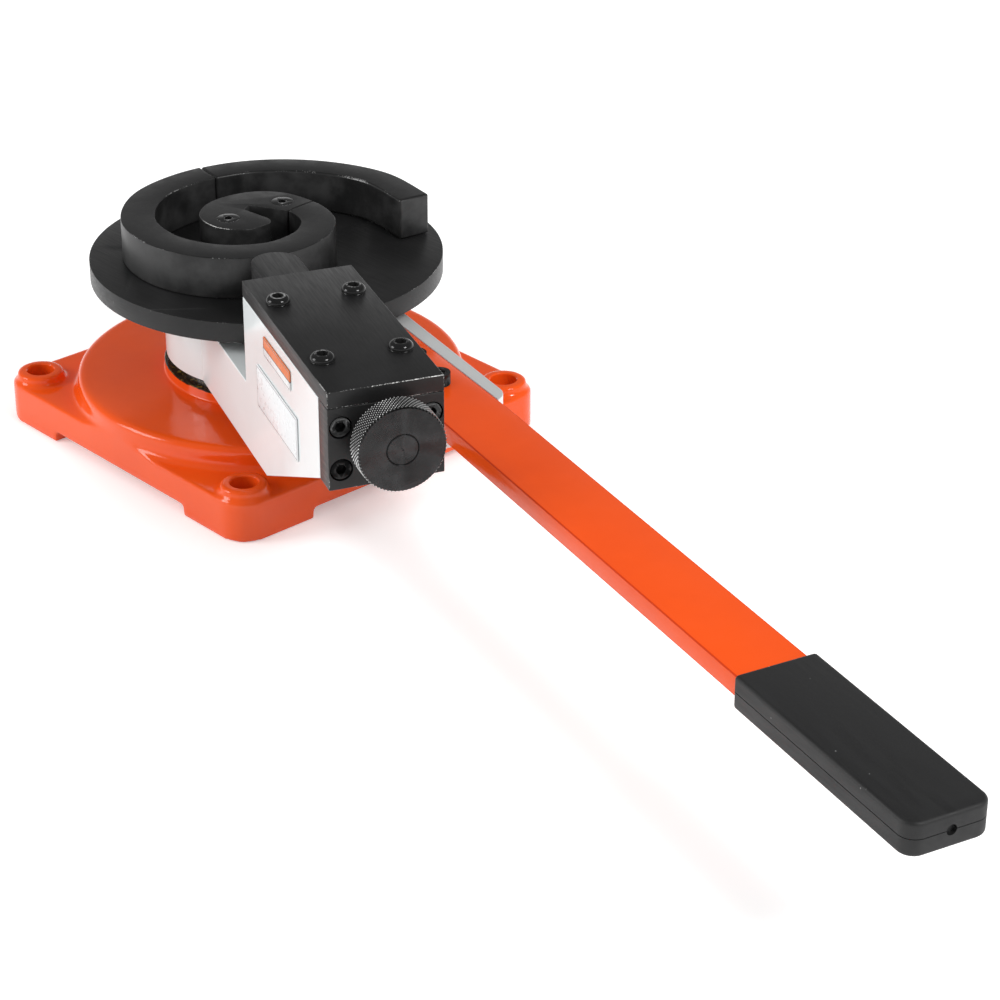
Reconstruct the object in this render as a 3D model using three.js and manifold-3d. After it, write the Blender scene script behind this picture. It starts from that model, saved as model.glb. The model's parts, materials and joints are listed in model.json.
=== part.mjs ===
// Bench scroll bender: a cast base with four bolt ears carries a fixed spindle, a round die plate and a
// three-piece scroll former. A cast arm swings round the spindle between base and die plate. It holds a
// sliding pusher bar under a cover plate, a lead screw with a knurled knob, and the long lever.
// Millimetres, +Z up. The origin is where the pivot axis meets the bench. In the arm's own frame +X runs
// out along the pusher bar, and in the lever's frame +X runs out along the lever.
import * as THREE from 'three';
import { mergeVertices } from 'three/addons/utils/BufferGeometryUtils.js';
import Module from 'manifold-3d';

const wasm = await Module();
wasm.setup();

// Clearances and facets
const seatGap = 0.3;
const slideClearance = 0.3;
const cutOverrun = 3;
const mergeTolerance = 1e-4;
const largeSides = 48;
const pinSides = 24;
const screwSides = 16;
const hexSides = 6;
const arcSteps = 3;

// Base casting
const baseHalfSide = 139;
const baseCornerRadius = 20;
const flangeHeight = 28.8;
const footNotchHeight = 7.3;
const footLength = 64;
const benchHoleRadius = 9.5;
const earBossRadius = 16.5;
const earBossHeight = 7.1;
const earBossSpread = 3;
const pedestalRadius = 139;
const pedestalHeight = 45.5;
const pedestalEdgeRadius = 4.5;
const pivotBossRadius = 76;
const pivotBossHeight = 8;
const pivotBossFillet = 4;
const baseWall = 14;
const baseRoofThickness = 13;
const baseRibThickness = 12;
const baseRibCount = 8;
const baseCoreRadius = 64;

// Spindle and its bearings
const spindleRadius = 30;
const spindleFlangeRadius = 54;
const spindleFlangeThickness = 12;
const spindleSpigotDepth = 12;
const spindleScrewCircleRadius = 43;
const spindleScrewCount = 4;
const thrustRingOuterRadius = 66;
const thrustRingThickness = 5.5;
const bushWall = 5;
const bushLength = 22;
const upperRingOuterRadius = 52;
const upperRingThickness = 8;

// Die plate and its fasteners
const plateRadius = 125;
const plateThickness = 14.3;
const plateEdgeChamfer = 0.8;
const plateScrewCircleRadius = 19;
const plateScrewCount = 3;
const plateScrewStartAngle = 60;
const plateDowelRadius = 4;
const plateDowelLength = 22;
const plateDowelAngles = [0, 240];

// Scroll former. The outer radius is given every 30 degrees, clockwise from the tip of the eye.
const formerHeight = 30;
const formerWall = 24;
const spiralStartAngle = -30;
const spiralStep = 30;
const spiralRadiusShares = [
  0.184, 0.288, 0.348, 0.372, 0.352, 0.318, 0.302, 0.290, 0.287, 0.334, 0.422,
  0.523, 0.630, 0.707, 0.770, 0.809, 0.812, 0.791, 0.797, 0.826, 0.892, 0.974,
];
const eyeTurn = 252;
const middleTurn = 520;
const outerTurn = 626.5;
const spiralSampleStep = 6;
const segmentJointGap = 0.4;
const hookSlotCornerX = -16.5;
const hookSlotCornerY = -1.6;
const hookSlotEndWidth = 8.8;
const hookSlotEndAngle = -60;
const hookSlotFarAngle = 27;
const hookSlotNearAngle = 6.5;
const hookSlotLength = 44;
const lobeTipRadius = 10;
const lobeTipX = 10.8;
const lobeTipY = -16.6;
const eyeScrewPlaces = [[-7.4, -27.2], [-6, 20.2]];
const segmentDowelRadius = 5;
const segmentDowelStandOut = 10;
const segmentDowelDepth = 9;
const middleDowelTurns = [320, 460];
const outerDowelTurns = [541, 603];

// Swing frame: a round hub, a slab and the housing that guides the pusher bar
const armAngle = -21.75;
const hubRadius = 74.5;
const hubHeight = 50.3;
const housingWidth = 75;
const housingOffset = -24.5;
const housingBackClearance = 29;
const housingLength = 160.6;
const chinLength = 118.8;
const pocketWall = 12;
const pocketRoofThickness = 14;
const slabPocketStart = 92;
const pocketRib = 12;

// Pusher bar
const pusherWidth = 33;
const pusherHeight = 37.4;
const pusherLength = 186;
const pusherPlateClearance = 0.7;
const noseReach = 89.5;
const screwSocketDepth = 24;

// Cover plate and end plate
const coverThickness = 11;
const coverScrewSpacingAcross = 51;
const coverScrewInsetBack = 41;
const coverScrewInsetFront = 45.5;
const endPlateThickness = 18.1;
const endPlateHeight = 55.2;
const endScrewSpacingAcross = 58.6;
const endScrewSpacingUp = 28.8;
const endScrewCounterboreDepth = 9;
const endScrewCounterboreClearance = 1;

// Lead screw and knob
const leadScrewRadius = 10;
const leadScrewNeckRadius = 5.5;
const leadScrewNeckLength = 6.8;
const leadScrewCollarRadius = 8;
const leadScrewCollarLength = 9;
const leadScrewEndChamfer = 0.6;
const knobRadius = 28.6;
const knobLength = 16.5;
const knobStandOff = 14;
const knobEdgeChamfer = 1.2;
const retainingPinRadius = 3;

// Lever and grip, in the lever's own frame
const leverSplay = 7.12;
const leverNearSide = 7.6;
const leverWidth = 47;
const leverThickness = 13.4;
const leverInnerEnd = 96;
const leverOuterEnd = 778.2;
const leverTangEnd = 260;
const leverTangTaper = 1.75;
const ribEnd = 248;
const ribEndThickness = 9.4;
const ribOuterTaper = 0.95;
const ribCornerRadius = 8.5;
const leverSeatChinLength = 74;
const leverSeatChinRise = 24;
const leverBoltPlaces = [137, 172, 207];
const leverBoltLengthBelow = 13;
const gripLength = 166;
const gripWall = 3.5;
const gripFloor = 4.6;
const gripCornerRadius = 10;
const gripEdgeRadius = 3;
const gripEndWall = 3.5;
const gripEndHoleRadius = 3.3;

// Blank labels on the left cheek
const labelThickness = 0.8;
const lowerLabel = { start: 184, length: 87, bottom: 106, height: 30.5 };
const upperLabel = { start: 202, length: 57, bottom: 150, height: 14 };

// Screws: shank radius, head radius and height, hexagon key size across flats
const socketScrew = { shank: 4, head: 6.5, headHeight: 8, key: 6, keyDepth: 4, length: 22 };
const buttonScrew = {
  shank: 4, head: 8, headHeight: 4.4, domeRadius: 3.4, key: 6, keyDepth: 2.6, length: 18,
};
const sunkScrew = { shank: 4, head: 8, headHeight: 4.4, key: 5, keyDepth: 2.8, length: 20 };
const leverBolt = { shank: 5, head: 8, headHeight: 8, key: 8, keyDepth: 5 };
const setScrew = { radius: 3, key: 3, keyDepth: 3, length: 12 };

// Heights that follow from the stack
const pivotBossTop = pedestalHeight + pivotBossHeight;
const hubBottom = pivotBossTop + thrustRingThickness + 2 * seatGap;
const slabTop = hubBottom + hubHeight;
const plateBottom = slabTop + upperRingThickness + 2 * seatGap;
const plateTop = plateBottom + plateThickness;
const formerBottom = plateTop + seatGap;
const formerTop = formerBottom + formerHeight;
const pusherBottom = plateTop + pusherPlateClearance;
const pusherTop = pusherBottom + pusherHeight;
const channelFloor = pusherBottom - slideClearance;
const cheekTop = pusherTop + slideClearance;
const coverBottom = cheekTop + seatGap;
const coverTop = coverBottom + coverThickness;

// Places in the arm's frame
const housingRight = housingOffset + housingWidth / 2;
const housingLeft = housingOffset - housingWidth / 2;
const housingBack = plateRadius + housingBackClearance;
const housingFront = housingBack + housingLength;
const endPlateBack = housingFront + seatGap;
const endPlateFront = endPlateBack + endPlateThickness;
const endPlateTop = cheekTop;
const endPlateBottom = endPlateTop - endPlateHeight;
const screwAxisHeight = pusherBottom + pusherHeight / 2;
const pusherRear = noseReach + pusherLength;
const knobBack = endPlateFront + knobStandOff;
const knobFront = knobBack + knobLength;

// Places in the lever's frame
const leverFarSide = leverNearSide + leverWidth;
const leverMiddle = leverNearSide + leverWidth / 2;
const leverBottom = slabTop - leverThickness;
const leverMidHeight = slabTop - leverThickness / 2;

const radians = THREE.MathUtils.degToRad;

// Solids

function solidFrom(geometry) {
  geometry.deleteAttribute('normal');
  geometry.deleteAttribute('uv');
  const merged = mergeVertices(geometry, mergeTolerance);
  const corners = merged.index.array;
  const triangles = [];
  for (let i = 0; i < corners.length; i += 3) {
    const [a, b, c] = [corners[i], corners[i + 1], corners[i + 2]];
    if (a !== b && b !== c && c !== a) triangles.push(a, b, c);
  }
  return new wasm.Manifold(new wasm.Mesh({
    numProp: 3,
    vertProperties: new Float32Array(merged.attributes.position.array),
    triVerts: new Uint32Array(triangles),
  }));
}

function geometryFrom(solid) {
  const { vertProperties, triVerts } = solid.getMesh();
  const geometry = new THREE.BufferGeometry();
  geometry.setAttribute('position', new THREE.BufferAttribute(vertProperties, 3));
  geometry.setIndex(new THREE.BufferAttribute(triVerts, 1));
  geometry.computeVertexNormals();
  return geometry;
}

function moved(solid, x, y, z) {
  return solid.translate([x, y, z]);
}

function turnedAboutZ(solid, degrees) {
  return solid.rotate([0, 0, degrees]);
}

function joined(first, ...others) {
  return others.reduce((whole, other) => whole.add(other), first);
}

function cut(first, ...others) {
  return others.reduce((whole, other) => whole.subtract(other), first);
}

function block(x0, x1, y0, y1, z0, z1) {
  const geometry = new THREE.BoxGeometry(x1 - x0, y1 - y0, z1 - z0);
  return moved(solidFrom(geometry), (x0 + x1) / 2, (y0 + y1) / 2, (z0 + z1) / 2);
}

// A round bar standing on z0
function bar(radius, z0, z1, sides = screwSides) {
  const geometry = new THREE.CylinderGeometry(radius, radius, z1 - z0, sides);
  geometry.rotateX(Math.PI / 2);
  return moved(solidFrom(geometry), 0, 0, (z0 + z1) / 2);
}

// A solid turned about Z from [radius, height] points that start and end on the axis, bottom first
function turned(profile, sides) {
  const points = profile.map(([radius, height]) => new THREE.Vector2(radius, height));
  const geometry = new THREE.LatheGeometry(points, sides);
  geometry.rotateX(Math.PI / 2);
  return solidFrom(geometry);
}

function ring(inner, outer, z0, z1, sides) {
  return cut(bar(outer, z0, z1, sides), bar(inner, z0 - cutOverrun, z1 + cutOverrun, sides));
}

// An upright prism over an outline of THREE.Vector2 points or a THREE.Shape
function prism(outline, z0, z1) {
  const shape = outline instanceof THREE.Shape ? outline : new THREE.Shape(outline);
  const options = { depth: z1 - z0, bevelEnabled: false, curveSegments: arcSteps };
  return moved(solidFrom(new THREE.ExtrudeGeometry(shape, options)), 0, 0, z0);
}

// A prism along Y over an outline of [x, z] points
function sideways(outline, y0, y1) {
  const points = outline.map(([x, z]) => new THREE.Vector2(x, -z));
  return prism(points, y0, y1).rotate([-90, 0, 0]);
}

// A Z-aligned solid laid along +X, its z = 0 end at x
function laidAlongX(solid, x, y, z) {
  return moved(solid.rotate([0, 90, 0]), x, y, z);
}

function roundedRectangle(x0, x1, y0, y1, radius) {
  const shape = new THREE.Shape();
  shape.absarc(x1 - radius, y0 + radius, radius, -Math.PI / 2, 0);
  shape.absarc(x1 - radius, y1 - radius, radius, 0, Math.PI / 2);
  shape.absarc(x0 + radius, y1 - radius, radius, Math.PI / 2, Math.PI);
  shape.absarc(x0 + radius, y0 + radius, radius, Math.PI, 1.5 * Math.PI);
  return shape;
}

// Points of an arc in a turned profile, between two angles in degrees
function arc(centreRadius, centreHeight, radius, from, to) {
  const points = [];
  for (let step = 0; step <= arcSteps; step += 1) {
    const angle = radians(from + ((to - from) * step) / arcSteps);
    points.push([centreRadius + radius * Math.cos(angle), centreHeight + radius * Math.sin(angle)]);
  }
  return points;
}

function atAngles(angles, radius, place) {
  angles.forEach((degrees, i) => {
    const angle = radians(degrees);
    place(radius * Math.cos(angle), radius * Math.sin(angle), i + 1);
  });
}

function onCircle(count, radius, firstAngle, place) {
  const angles = Array.from({ length: count }, (_, i) => firstAngle + (360 * i) / count);
  atAngles(angles, radius, place);
}

function atCorners(halfX, halfY, place) {
  [[-1, -1], [1, -1], [1, 1], [-1, 1]].forEach(([x, y], i) => place(x * halfX, y * halfY, i + 1));
}

// Materials, in the colours of the photographed object
const enamel = new THREE.MeshStandardMaterial({ color: 0xf0521c, roughness: 0.35, metalness: 0 });
const blackened = new THREE.MeshStandardMaterial({ color: 0x2c2c2c, roughness: 0.5, metalness: 0.6 });
const castBlack = new THREE.MeshStandardMaterial({ color: 0x303030, roughness: 0.65, metalness: 0.5 });
const silverPaint = new THREE.MeshStandardMaterial({ color: 0xe8e8e6, roughness: 0.4, metalness: 0 });
const steel = new THREE.MeshStandardMaterial({ color: 0x9a9a98, roughness: 0.35, metalness: 1 });
const bronze = new THREE.MeshStandardMaterial({ color: 0xa9793a, roughness: 0.4, metalness: 1 });
const rubber = new THREE.MeshStandardMaterial({ color: 0x262626, roughness: 0.8, metalness: 0 });
const foil = new THREE.MeshStandardMaterial({ color: 0xd8dadb, roughness: 0.3, metalness: 0.6 });

const bender = new THREE.Group();
const arm = new THREE.Group();
arm.rotation.z = radians(armAngle);
bender.add(arm);
const lever = new THREE.Group();
lever.rotation.z = radians(leverSplay);
arm.add(lever);

function add(group, name, solid, material) {
  const mesh = new THREE.Mesh(geometryFrom(solid), material);
  mesh.name = name;
  group.add(mesh);
  return mesh;
}

// Fasteners, each with its bearing face at z = 0, head up and shank down

function withKeyHole(solid, screw, top) {
  return cut(solid, bar(screw.key / Math.sqrt(3), top - screw.keyDepth, top + cutOverrun, hexSides));
}

function headedScrew(screw, length) {
  const top = screw.headHeight;
  const profile = [
    [0, -length], [screw.shank, -length], [screw.shank, 0], [screw.head, 0], [screw.head, top], [0, top],
  ];
  return withKeyHole(turned(profile, screwSides), screw, top);
}

function domedScrew(screw, length) {
  const top = screw.headHeight;
  const flat = screw.head - screw.domeRadius;
  const profile = [
    [0, -length], [screw.shank, -length], [screw.shank, 0], [screw.head, 0],
    ...arc(flat, top - screw.domeRadius, screw.domeRadius, 0, 90), [0, top],
  ];
  return withKeyHole(turned(profile, screwSides), screw, top);
}

// A countersunk screw, its flat head flush at z = 0
function sunkHeadScrew(screw, length) {
  const low = -screw.headHeight;
  const profile = [[0, -length], [screw.shank, -length], [screw.shank, low], [screw.head, 0], [0, 0]];
  return withKeyHole(turned(profile, screwSides), screw, 0);
}

function sunkHole(screw, length) {
  const head = screw.head + seatGap;
  const shank = screw.shank + seatGap;
  const profile = [
    [0, -length - seatGap], [shank, -length - seatGap], [shank, -screw.headHeight - seatGap],
    [head, 0], [head, cutOverrun], [0, cutOverrun],
  ];
  return turned(profile, screwSides);
}

function plainHole(radius, depth) {
  return bar(radius + seatGap, -depth - seatGap, cutOverrun);
}

// Base

function pedestal() {
  const top = pedestalHeight;
  const edge = pedestalEdgeRadius;
  const foot = pivotBossRadius + pivotBossFillet;
  const profile = [
    [0, footNotchHeight], [pedestalRadius, footNotchHeight],
    ...arc(pedestalRadius - edge, top - edge, edge, 0, 90),
    ...arc(foot, top + pivotBossFillet, pivotBossFillet, 270, 180),
    [pivotBossRadius, pivotBossTop], [0, pivotBossTop],
  ];
  return turned(profile, largeSides);
}

function earBoss() {
  const top = flangeHeight + earBossHeight;
  const chamfer = earBossSpread / 2;
  const profile = [
    [0, 0], [earBossRadius + earBossSpread, 0], [earBossRadius + earBossSpread, flangeHeight],
    [earBossRadius, flangeHeight + earBossSpread], [earBossRadius, top - chamfer],
    [earBossRadius - chamfer, top], [0, top],
  ];
  return turned(profile, pinSides);
}

function footNotches() {
  const half = baseHalfSide - footLength;
  const reach = baseHalfSide + cutOverrun;
  const across = block(-reach, reach, -half, half, -cutOverrun, footNotchHeight);
  return joined(across, turnedAboutZ(across, 90));
}

function baseCavity() {
  const roof = pedestalHeight - baseRoofThickness;
  let hollow = ring(baseCoreRadius, pedestalRadius - baseWall, -cutOverrun, roof, largeSides);
  for (let i = 0; i < baseRibCount; i += 1) {
    const half = baseRibThickness / 2;
    const rib = block(0, pedestalRadius, -half, half, -2 * cutOverrun, roof + cutOverrun);
    hollow = cut(hollow, turnedAboutZ(rib, (360 * (i + 0.5)) / baseRibCount));
  }
  return hollow;
}

function baseCasting() {
  const half = baseHalfSide;
  const earPlace = half - baseCornerRadius;
  const flange = prism(roundedRectangle(-half, half, -half, half, baseCornerRadius), 0, flangeHeight);
  const corePad = bar(baseCoreRadius, 0, pedestalHeight, largeSides);
  let casting = cut(joined(flange, pedestal()), footNotches());
  casting = joined(cut(casting, baseCavity()), corePad);
  atCorners(earPlace, earPlace, (x, y) => {
    casting = joined(casting, moved(earBoss(), x, y, 0));
  });
  atCorners(earPlace, earPlace, (x, y) => {
    const hole = bar(benchHoleRadius, -cutOverrun, flangeHeight + earBossHeight + cutOverrun, pinSides);
    casting = cut(casting, moved(hole, x, y, 0));
  });
  const seatFloor = pivotBossTop - spindleFlangeThickness - seatGap;
  const spigotFloor = seatFloor - spindleSpigotDepth;
  casting = cut(
    casting,
    bar(spindleFlangeRadius + seatGap, seatFloor, pivotBossTop + cutOverrun, pinSides),
    bar(spindleRadius + seatGap, spigotFloor, pivotBossTop, pinSides),
  );
  onCircle(spindleScrewCount, spindleScrewCircleRadius, 0, (x, y) => {
    casting = cut(casting, moved(plainHole(socketScrew.shank, socketScrew.length), x, y, seatFloor));
  });
  return casting;
}

add(bender, 'base_casting', baseCasting(), enamel);

// Spindle, screwed down into the base boss and carrying the die plate

const flangeBottom = pivotBossTop - spindleFlangeThickness;
const spindleTop = plateBottom - seatGap;
const spindleScrewSeat = pivotBossTop - socketScrew.headHeight - seatGap;

function spindleSolid() {
  const profile = [
    [0, flangeBottom - spindleSpigotDepth], [spindleRadius, flangeBottom - spindleSpigotDepth],
    [spindleRadius, flangeBottom], [spindleFlangeRadius, flangeBottom],
    [spindleFlangeRadius, pivotBossTop], [spindleRadius, pivotBossTop],
    [spindleRadius, spindleTop], [0, spindleTop],
  ];
  let solid = turned(profile, pinSides);
  onCircle(spindleScrewCount, spindleScrewCircleRadius, 0, (x, y) => {
    const head = bar(socketScrew.head + seatGap, 0, spindleFlangeThickness);
    const hole = joined(head, plainHole(socketScrew.shank, spindleFlangeThickness));
    solid = cut(solid, moved(hole, x, y, spindleScrewSeat - seatGap));
  });
  onCircle(plateScrewCount, plateScrewCircleRadius, plateScrewStartAngle, (x, y) => {
    solid = cut(solid, moved(plainHole(sunkScrew.shank, sunkScrew.length), x, y, plateTop));
  });
  atAngles(plateDowelAngles, plateScrewCircleRadius, (x, y) => {
    solid = cut(solid, moved(plainHole(plateDowelRadius, plateDowelLength), x, y, plateTop));
  });
  return solid;
}

add(bender, 'spindle', spindleSolid(), steel);
onCircle(spindleScrewCount, spindleScrewCircleRadius, 0, (x, y, number) => {
  const solid = headedScrew(socketScrew, socketScrew.length);
  add(bender, `spindle_screw_${number}`, solid, blackened).position.set(x, y, spindleScrewSeat);
});

const thrustRingBottom = pivotBossTop + seatGap;
const thrustRing = ring(
  spindleRadius + seatGap, thrustRingOuterRadius,
  thrustRingBottom, thrustRingBottom + thrustRingThickness, largeSides,
);
add(bender, 'thrust_ring', thrustRing, steel);

// Die plate

function diePlate() {
  const chamfer = plateEdgeChamfer;
  const profile = [
    [0, plateBottom], [plateRadius - chamfer, plateBottom], [plateRadius, plateBottom + chamfer],
    [plateRadius, plateTop - chamfer], [plateRadius - chamfer, plateTop], [0, plateTop],
  ];
  let plate = turned(profile, largeSides);
  onCircle(plateScrewCount, plateScrewCircleRadius, plateScrewStartAngle, (x, y) => {
    plate = cut(plate, moved(sunkHole(sunkScrew, sunkScrew.length), x, y, plateTop));
  });
  atAngles(plateDowelAngles, plateScrewCircleRadius, (x, y) => {
    plate = cut(plate, moved(plainHole(plateDowelRadius, plateDowelLength), x, y, plateTop));
  });
  eyeScrewPlaces.forEach(([x, y]) => {
    plate = cut(plate, moved(plainHole(sunkScrew.shank, eyeScrewLength), x, y, formerTop));
  });
  [...middleDowelTurns, ...outerDowelTurns].forEach((turn) => {
    const { x, y } = onWallMiddle(turn);
    plate = cut(plate, moved(plainHole(segmentDowelRadius, segmentDowelDepth), x, y, plateTop));
  });
  return plate;
}

// Scroll former: one spiral outer face, split into an eye and two lift-off segments

const spiralPoints = spiralRadiusShares.map((share, i) => {
  const angle = radians(spiralStartAngle - i * spiralStep);
  const radius = share * plateRadius;
  return new THREE.Vector3(radius * Math.cos(angle), radius * Math.sin(angle), 0);
});
const spiral = new THREE.CatmullRomCurve3(spiralPoints, false, 'centripetal');
const fullTurn = spiralStep * (spiralRadiusShares.length - 1);

// A point on the outer face, or inset from it by part of the wall
function onSpiral(turn, inset = 0) {
  const share = turn / fullTurn;
  const point = spiral.getPoint(share);
  const run = spiral.getTangent(share);
  return new THREE.Vector2(point.x + run.y * inset, point.y - run.x * inset);
}

function onWallMiddle(turn) {
  return onSpiral(turn, formerWall / 2);
}

// Points along the outer face from one turn angle to another, backwards when from is larger
function spiralRun(from, to, inset) {
  const steps = Math.max(1, Math.round(Math.abs(to - from) / spiralSampleStep));
  const points = [];
  for (let step = 0; step <= steps; step += 1) {
    points.push(onSpiral(from + ((to - from) * step) / steps, inset));
  }
  return points;
}

// Half the joint gap as a turn angle at the given place
function jointTurn(turn) {
  const { x, y } = onSpiral(turn);
  return THREE.MathUtils.radToDeg(segmentJointGap / 2 / Math.hypot(x, y));
}

function segment(from, to, dowelTurns) {
  const start = from + jointTurn(from);
  const end = to - jointTurn(to);
  const outline = [...spiralRun(start, end, 0), ...spiralRun(end, start, formerWall)];
  let solid = prism(outline, formerBottom, formerTop);
  dowelTurns.forEach((turn) => {
    const { x, y } = onWallMiddle(turn);
    const hole = bar(segmentDowelRadius + seatGap, -cutOverrun, segmentDowelStandOut + seatGap);
    solid = cut(solid, moved(hole, x, y, formerBottom));
  });
  return solid;
}

const eyeScrewLength = formerHeight + plateThickness / 2;

function stepped(from, length, degrees) {
  const angle = radians(degrees);
  return new THREE.Vector2(from.x + length * Math.cos(angle), from.y + length * Math.sin(angle));
}

// The wedge between the eye's two lobes that takes the end of the bar
function hookSlot() {
  const farCorner = new THREE.Vector2(hookSlotCornerX, hookSlotCornerY);
  const nearCorner = stepped(farCorner, hookSlotEndWidth, hookSlotEndAngle);
  const outline = [
    farCorner, nearCorner,
    stepped(nearCorner, hookSlotLength, hookSlotNearAngle),
    stepped(farCorner, hookSlotLength, hookSlotFarAngle),
  ];
  return prism(outline, formerBottom - cutOverrun, formerTop + cutOverrun);
}

// What is cut away to round the tip of the near lobe
function lobeTipCorner() {
  const reach = lobeTipRadius + cutOverrun;
  const bottom = formerBottom - cutOverrun;
  const top = formerTop + cutOverrun;
  const corner = block(0, reach, 0, reach, bottom, top);
  const tip = bar(lobeTipRadius, bottom - cutOverrun, top + cutOverrun);
  return moved(cut(corner, tip), lobeTipX, lobeTipY, 0);
}

function centreEye() {
  const end = eyeTurn - jointTurn(eyeTurn);
  const inside = onSpiral(end, formerWall);
  const outline = [...spiralRun(0, end, 0), inside];
  let eye = cut(prism(outline, formerBottom, formerTop), hookSlot(), lobeTipCorner());
  eyeScrewPlaces.forEach(([x, y]) => {
    eye = cut(eye, moved(sunkHole(sunkScrew, eyeScrewLength), x, y, formerTop));
  });
  return eye;
}

add(bender, 'die_plate', diePlate(), blackened);
onCircle(plateScrewCount, plateScrewCircleRadius, plateScrewStartAngle, (x, y, number) => {
  const screw = add(bender, `plate_screw_${number}`, sunkHeadScrew(sunkScrew, sunkScrew.length), blackened);
  screw.position.set(x, y, plateTop);
});
atAngles(plateDowelAngles, plateScrewCircleRadius, (x, y, number) => {
  const dowel = add(bender, `plate_dowel_${number}`, bar(plateDowelRadius, -plateDowelLength, 0), steel);
  dowel.position.set(x, y, plateTop);
});
add(bender, 'centre_eye', centreEye(), castBlack);
eyeScrewPlaces.forEach(([x, y], i) => {
  const screw = add(bender, `eye_screw_${i + 1}`, sunkHeadScrew(sunkScrew, eyeScrewLength), blackened);
  screw.position.set(x, y, formerTop);
});
add(bender, 'middle_segment', segment(eyeTurn, middleTurn, middleDowelTurns), castBlack);
add(bender, 'outer_segment', segment(middleTurn, outerTurn, outerDowelTurns), castBlack);

function segmentDowels(name, turns) {
  turns.forEach((turn, i) => {
    const { x, y } = onWallMiddle(turn);
    const solid = bar(segmentDowelRadius, -segmentDowelDepth, segmentDowelStandOut);
    add(bender, `${name}_${i + 1}`, solid, steel).position.set(x, y, plateTop);
  });
}

segmentDowels('middle_dowel', middleDowelTurns);
segmentDowels('outer_dowel', outerDowelTurns);

// Swing frame

// Offset of the rib's inner face from the lever's axis line, at a place along the lever
function ribInnerSide(place) {
  return leverFarSide - (leverTangEnd - place) * Math.tan(radians(leverTangTaper));
}

function ribOuterSide(place) {
  return ribInnerSide(ribEnd) + ribEndThickness - (ribEnd - place) * Math.tan(radians(ribOuterTaper));
}

function leverSeat() {
  const corner = ribCornerRadius;
  const side = ribOuterSide(ribEnd);
  const shape = new THREE.Shape();
  shape.moveTo(0, 0);
  shape.lineTo(ribEnd, 0);
  shape.lineTo(ribEnd, side - corner);
  shape.absarc(ribEnd - corner, side - corner, corner, 0, Math.PI / 2);
  shape.lineTo(0, ribOuterSide(0));
  const slab = prism(shape, hubBottom, slabTop);
  const chinStart = ribEnd - leverSeatChinLength;
  const low = hubBottom - cutOverrun;
  const chin = [
    [chinStart, low], [ribEnd + cutOverrun, low],
    [ribEnd + cutOverrun, hubBottom + leverSeatChinRise], [ribEnd, hubBottom + leverSeatChinRise],
    [chinStart, hubBottom],
  ];
  return cut(slab, sideways(chin, -cutOverrun, side + cutOverrun));
}

// The tapered slot that the lever lies in, with the clearance round the lever added
function leverSlot() {
  const gap = seatGap;
  const start = leverInnerEnd - gap;
  const end = ribEnd + cutOverrun;
  const outline = [
    new THREE.Vector2(start, leverNearSide - gap),
    new THREE.Vector2(end, leverNearSide - gap),
    new THREE.Vector2(end, ribInnerSide(end) + gap),
    new THREE.Vector2(start, ribInnerSide(start) + gap),
  ];
  return prism(outline, leverBottom - gap, slabTop + cutOverrun);
}

// Hollows cast into the underside of the lever seat, either side of a cross rib
function leverSeatPockets() {
  const roof = leverBottom - pocketRoofThickness;
  const start = hubRadius + pocketWall;
  const end = ribEnd - pocketWall;
  const middle = (start + end) / 2;
  const near = leverNearSide + pocketWall;
  return [[start, middle - pocketRib / 2], [middle + pocketRib / 2, end]].map(([from, to]) => {
    const outline = [
      new THREE.Vector2(from, near), new THREE.Vector2(to, near),
      new THREE.Vector2(to, ribInnerSide(to)), new THREE.Vector2(from, ribInnerSide(from)),
    ];
    return turnedAboutZ(prism(outline, hubBottom - cutOverrun, roof), leverSplay);
  });
}

// Hollows under the slab and under the pusher housing
function armPockets() {
  const left = housingLeft + pocketWall;
  const right = housingRight - pocketWall;
  const start = housingBack + pocketWall / 2;
  const end = housingFront - pocketWall;
  const middle = (start + end) / 2;
  const slabRoof = slabTop - pocketRoofThickness;
  const housingRoof = channelFloor - pocketRoofThickness;
  const bottom = hubBottom - cutOverrun;
  return [
    block(slabPocketStart, housingBack - pocketWall / 2, left, right, bottom, slabRoof),
    block(start, middle - pocketRib / 2, left, right, bottom, housingRoof),
    block(middle + pocketRib / 2, end, left, right, bottom, housingRoof),
  ];
}

function eachCoverScrew(place) {
  const first = housingBack + coverScrewInsetBack;
  const last = endPlateFront - coverScrewInsetFront;
  atCorners((last - first) / 2, coverScrewSpacingAcross / 2, (x, y, number) => {
    place((first + last) / 2 + x, housingOffset + y, number);
  });
}

function eachEndScrew(place) {
  const middleHeight = (endPlateTop + endPlateBottom) / 2;
  atCorners(endScrewSpacingUp / 2, endScrewSpacingAcross / 2, (up, across, number) => {
    place(housingOffset + across, middleHeight + up, number);
  });
}

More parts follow.
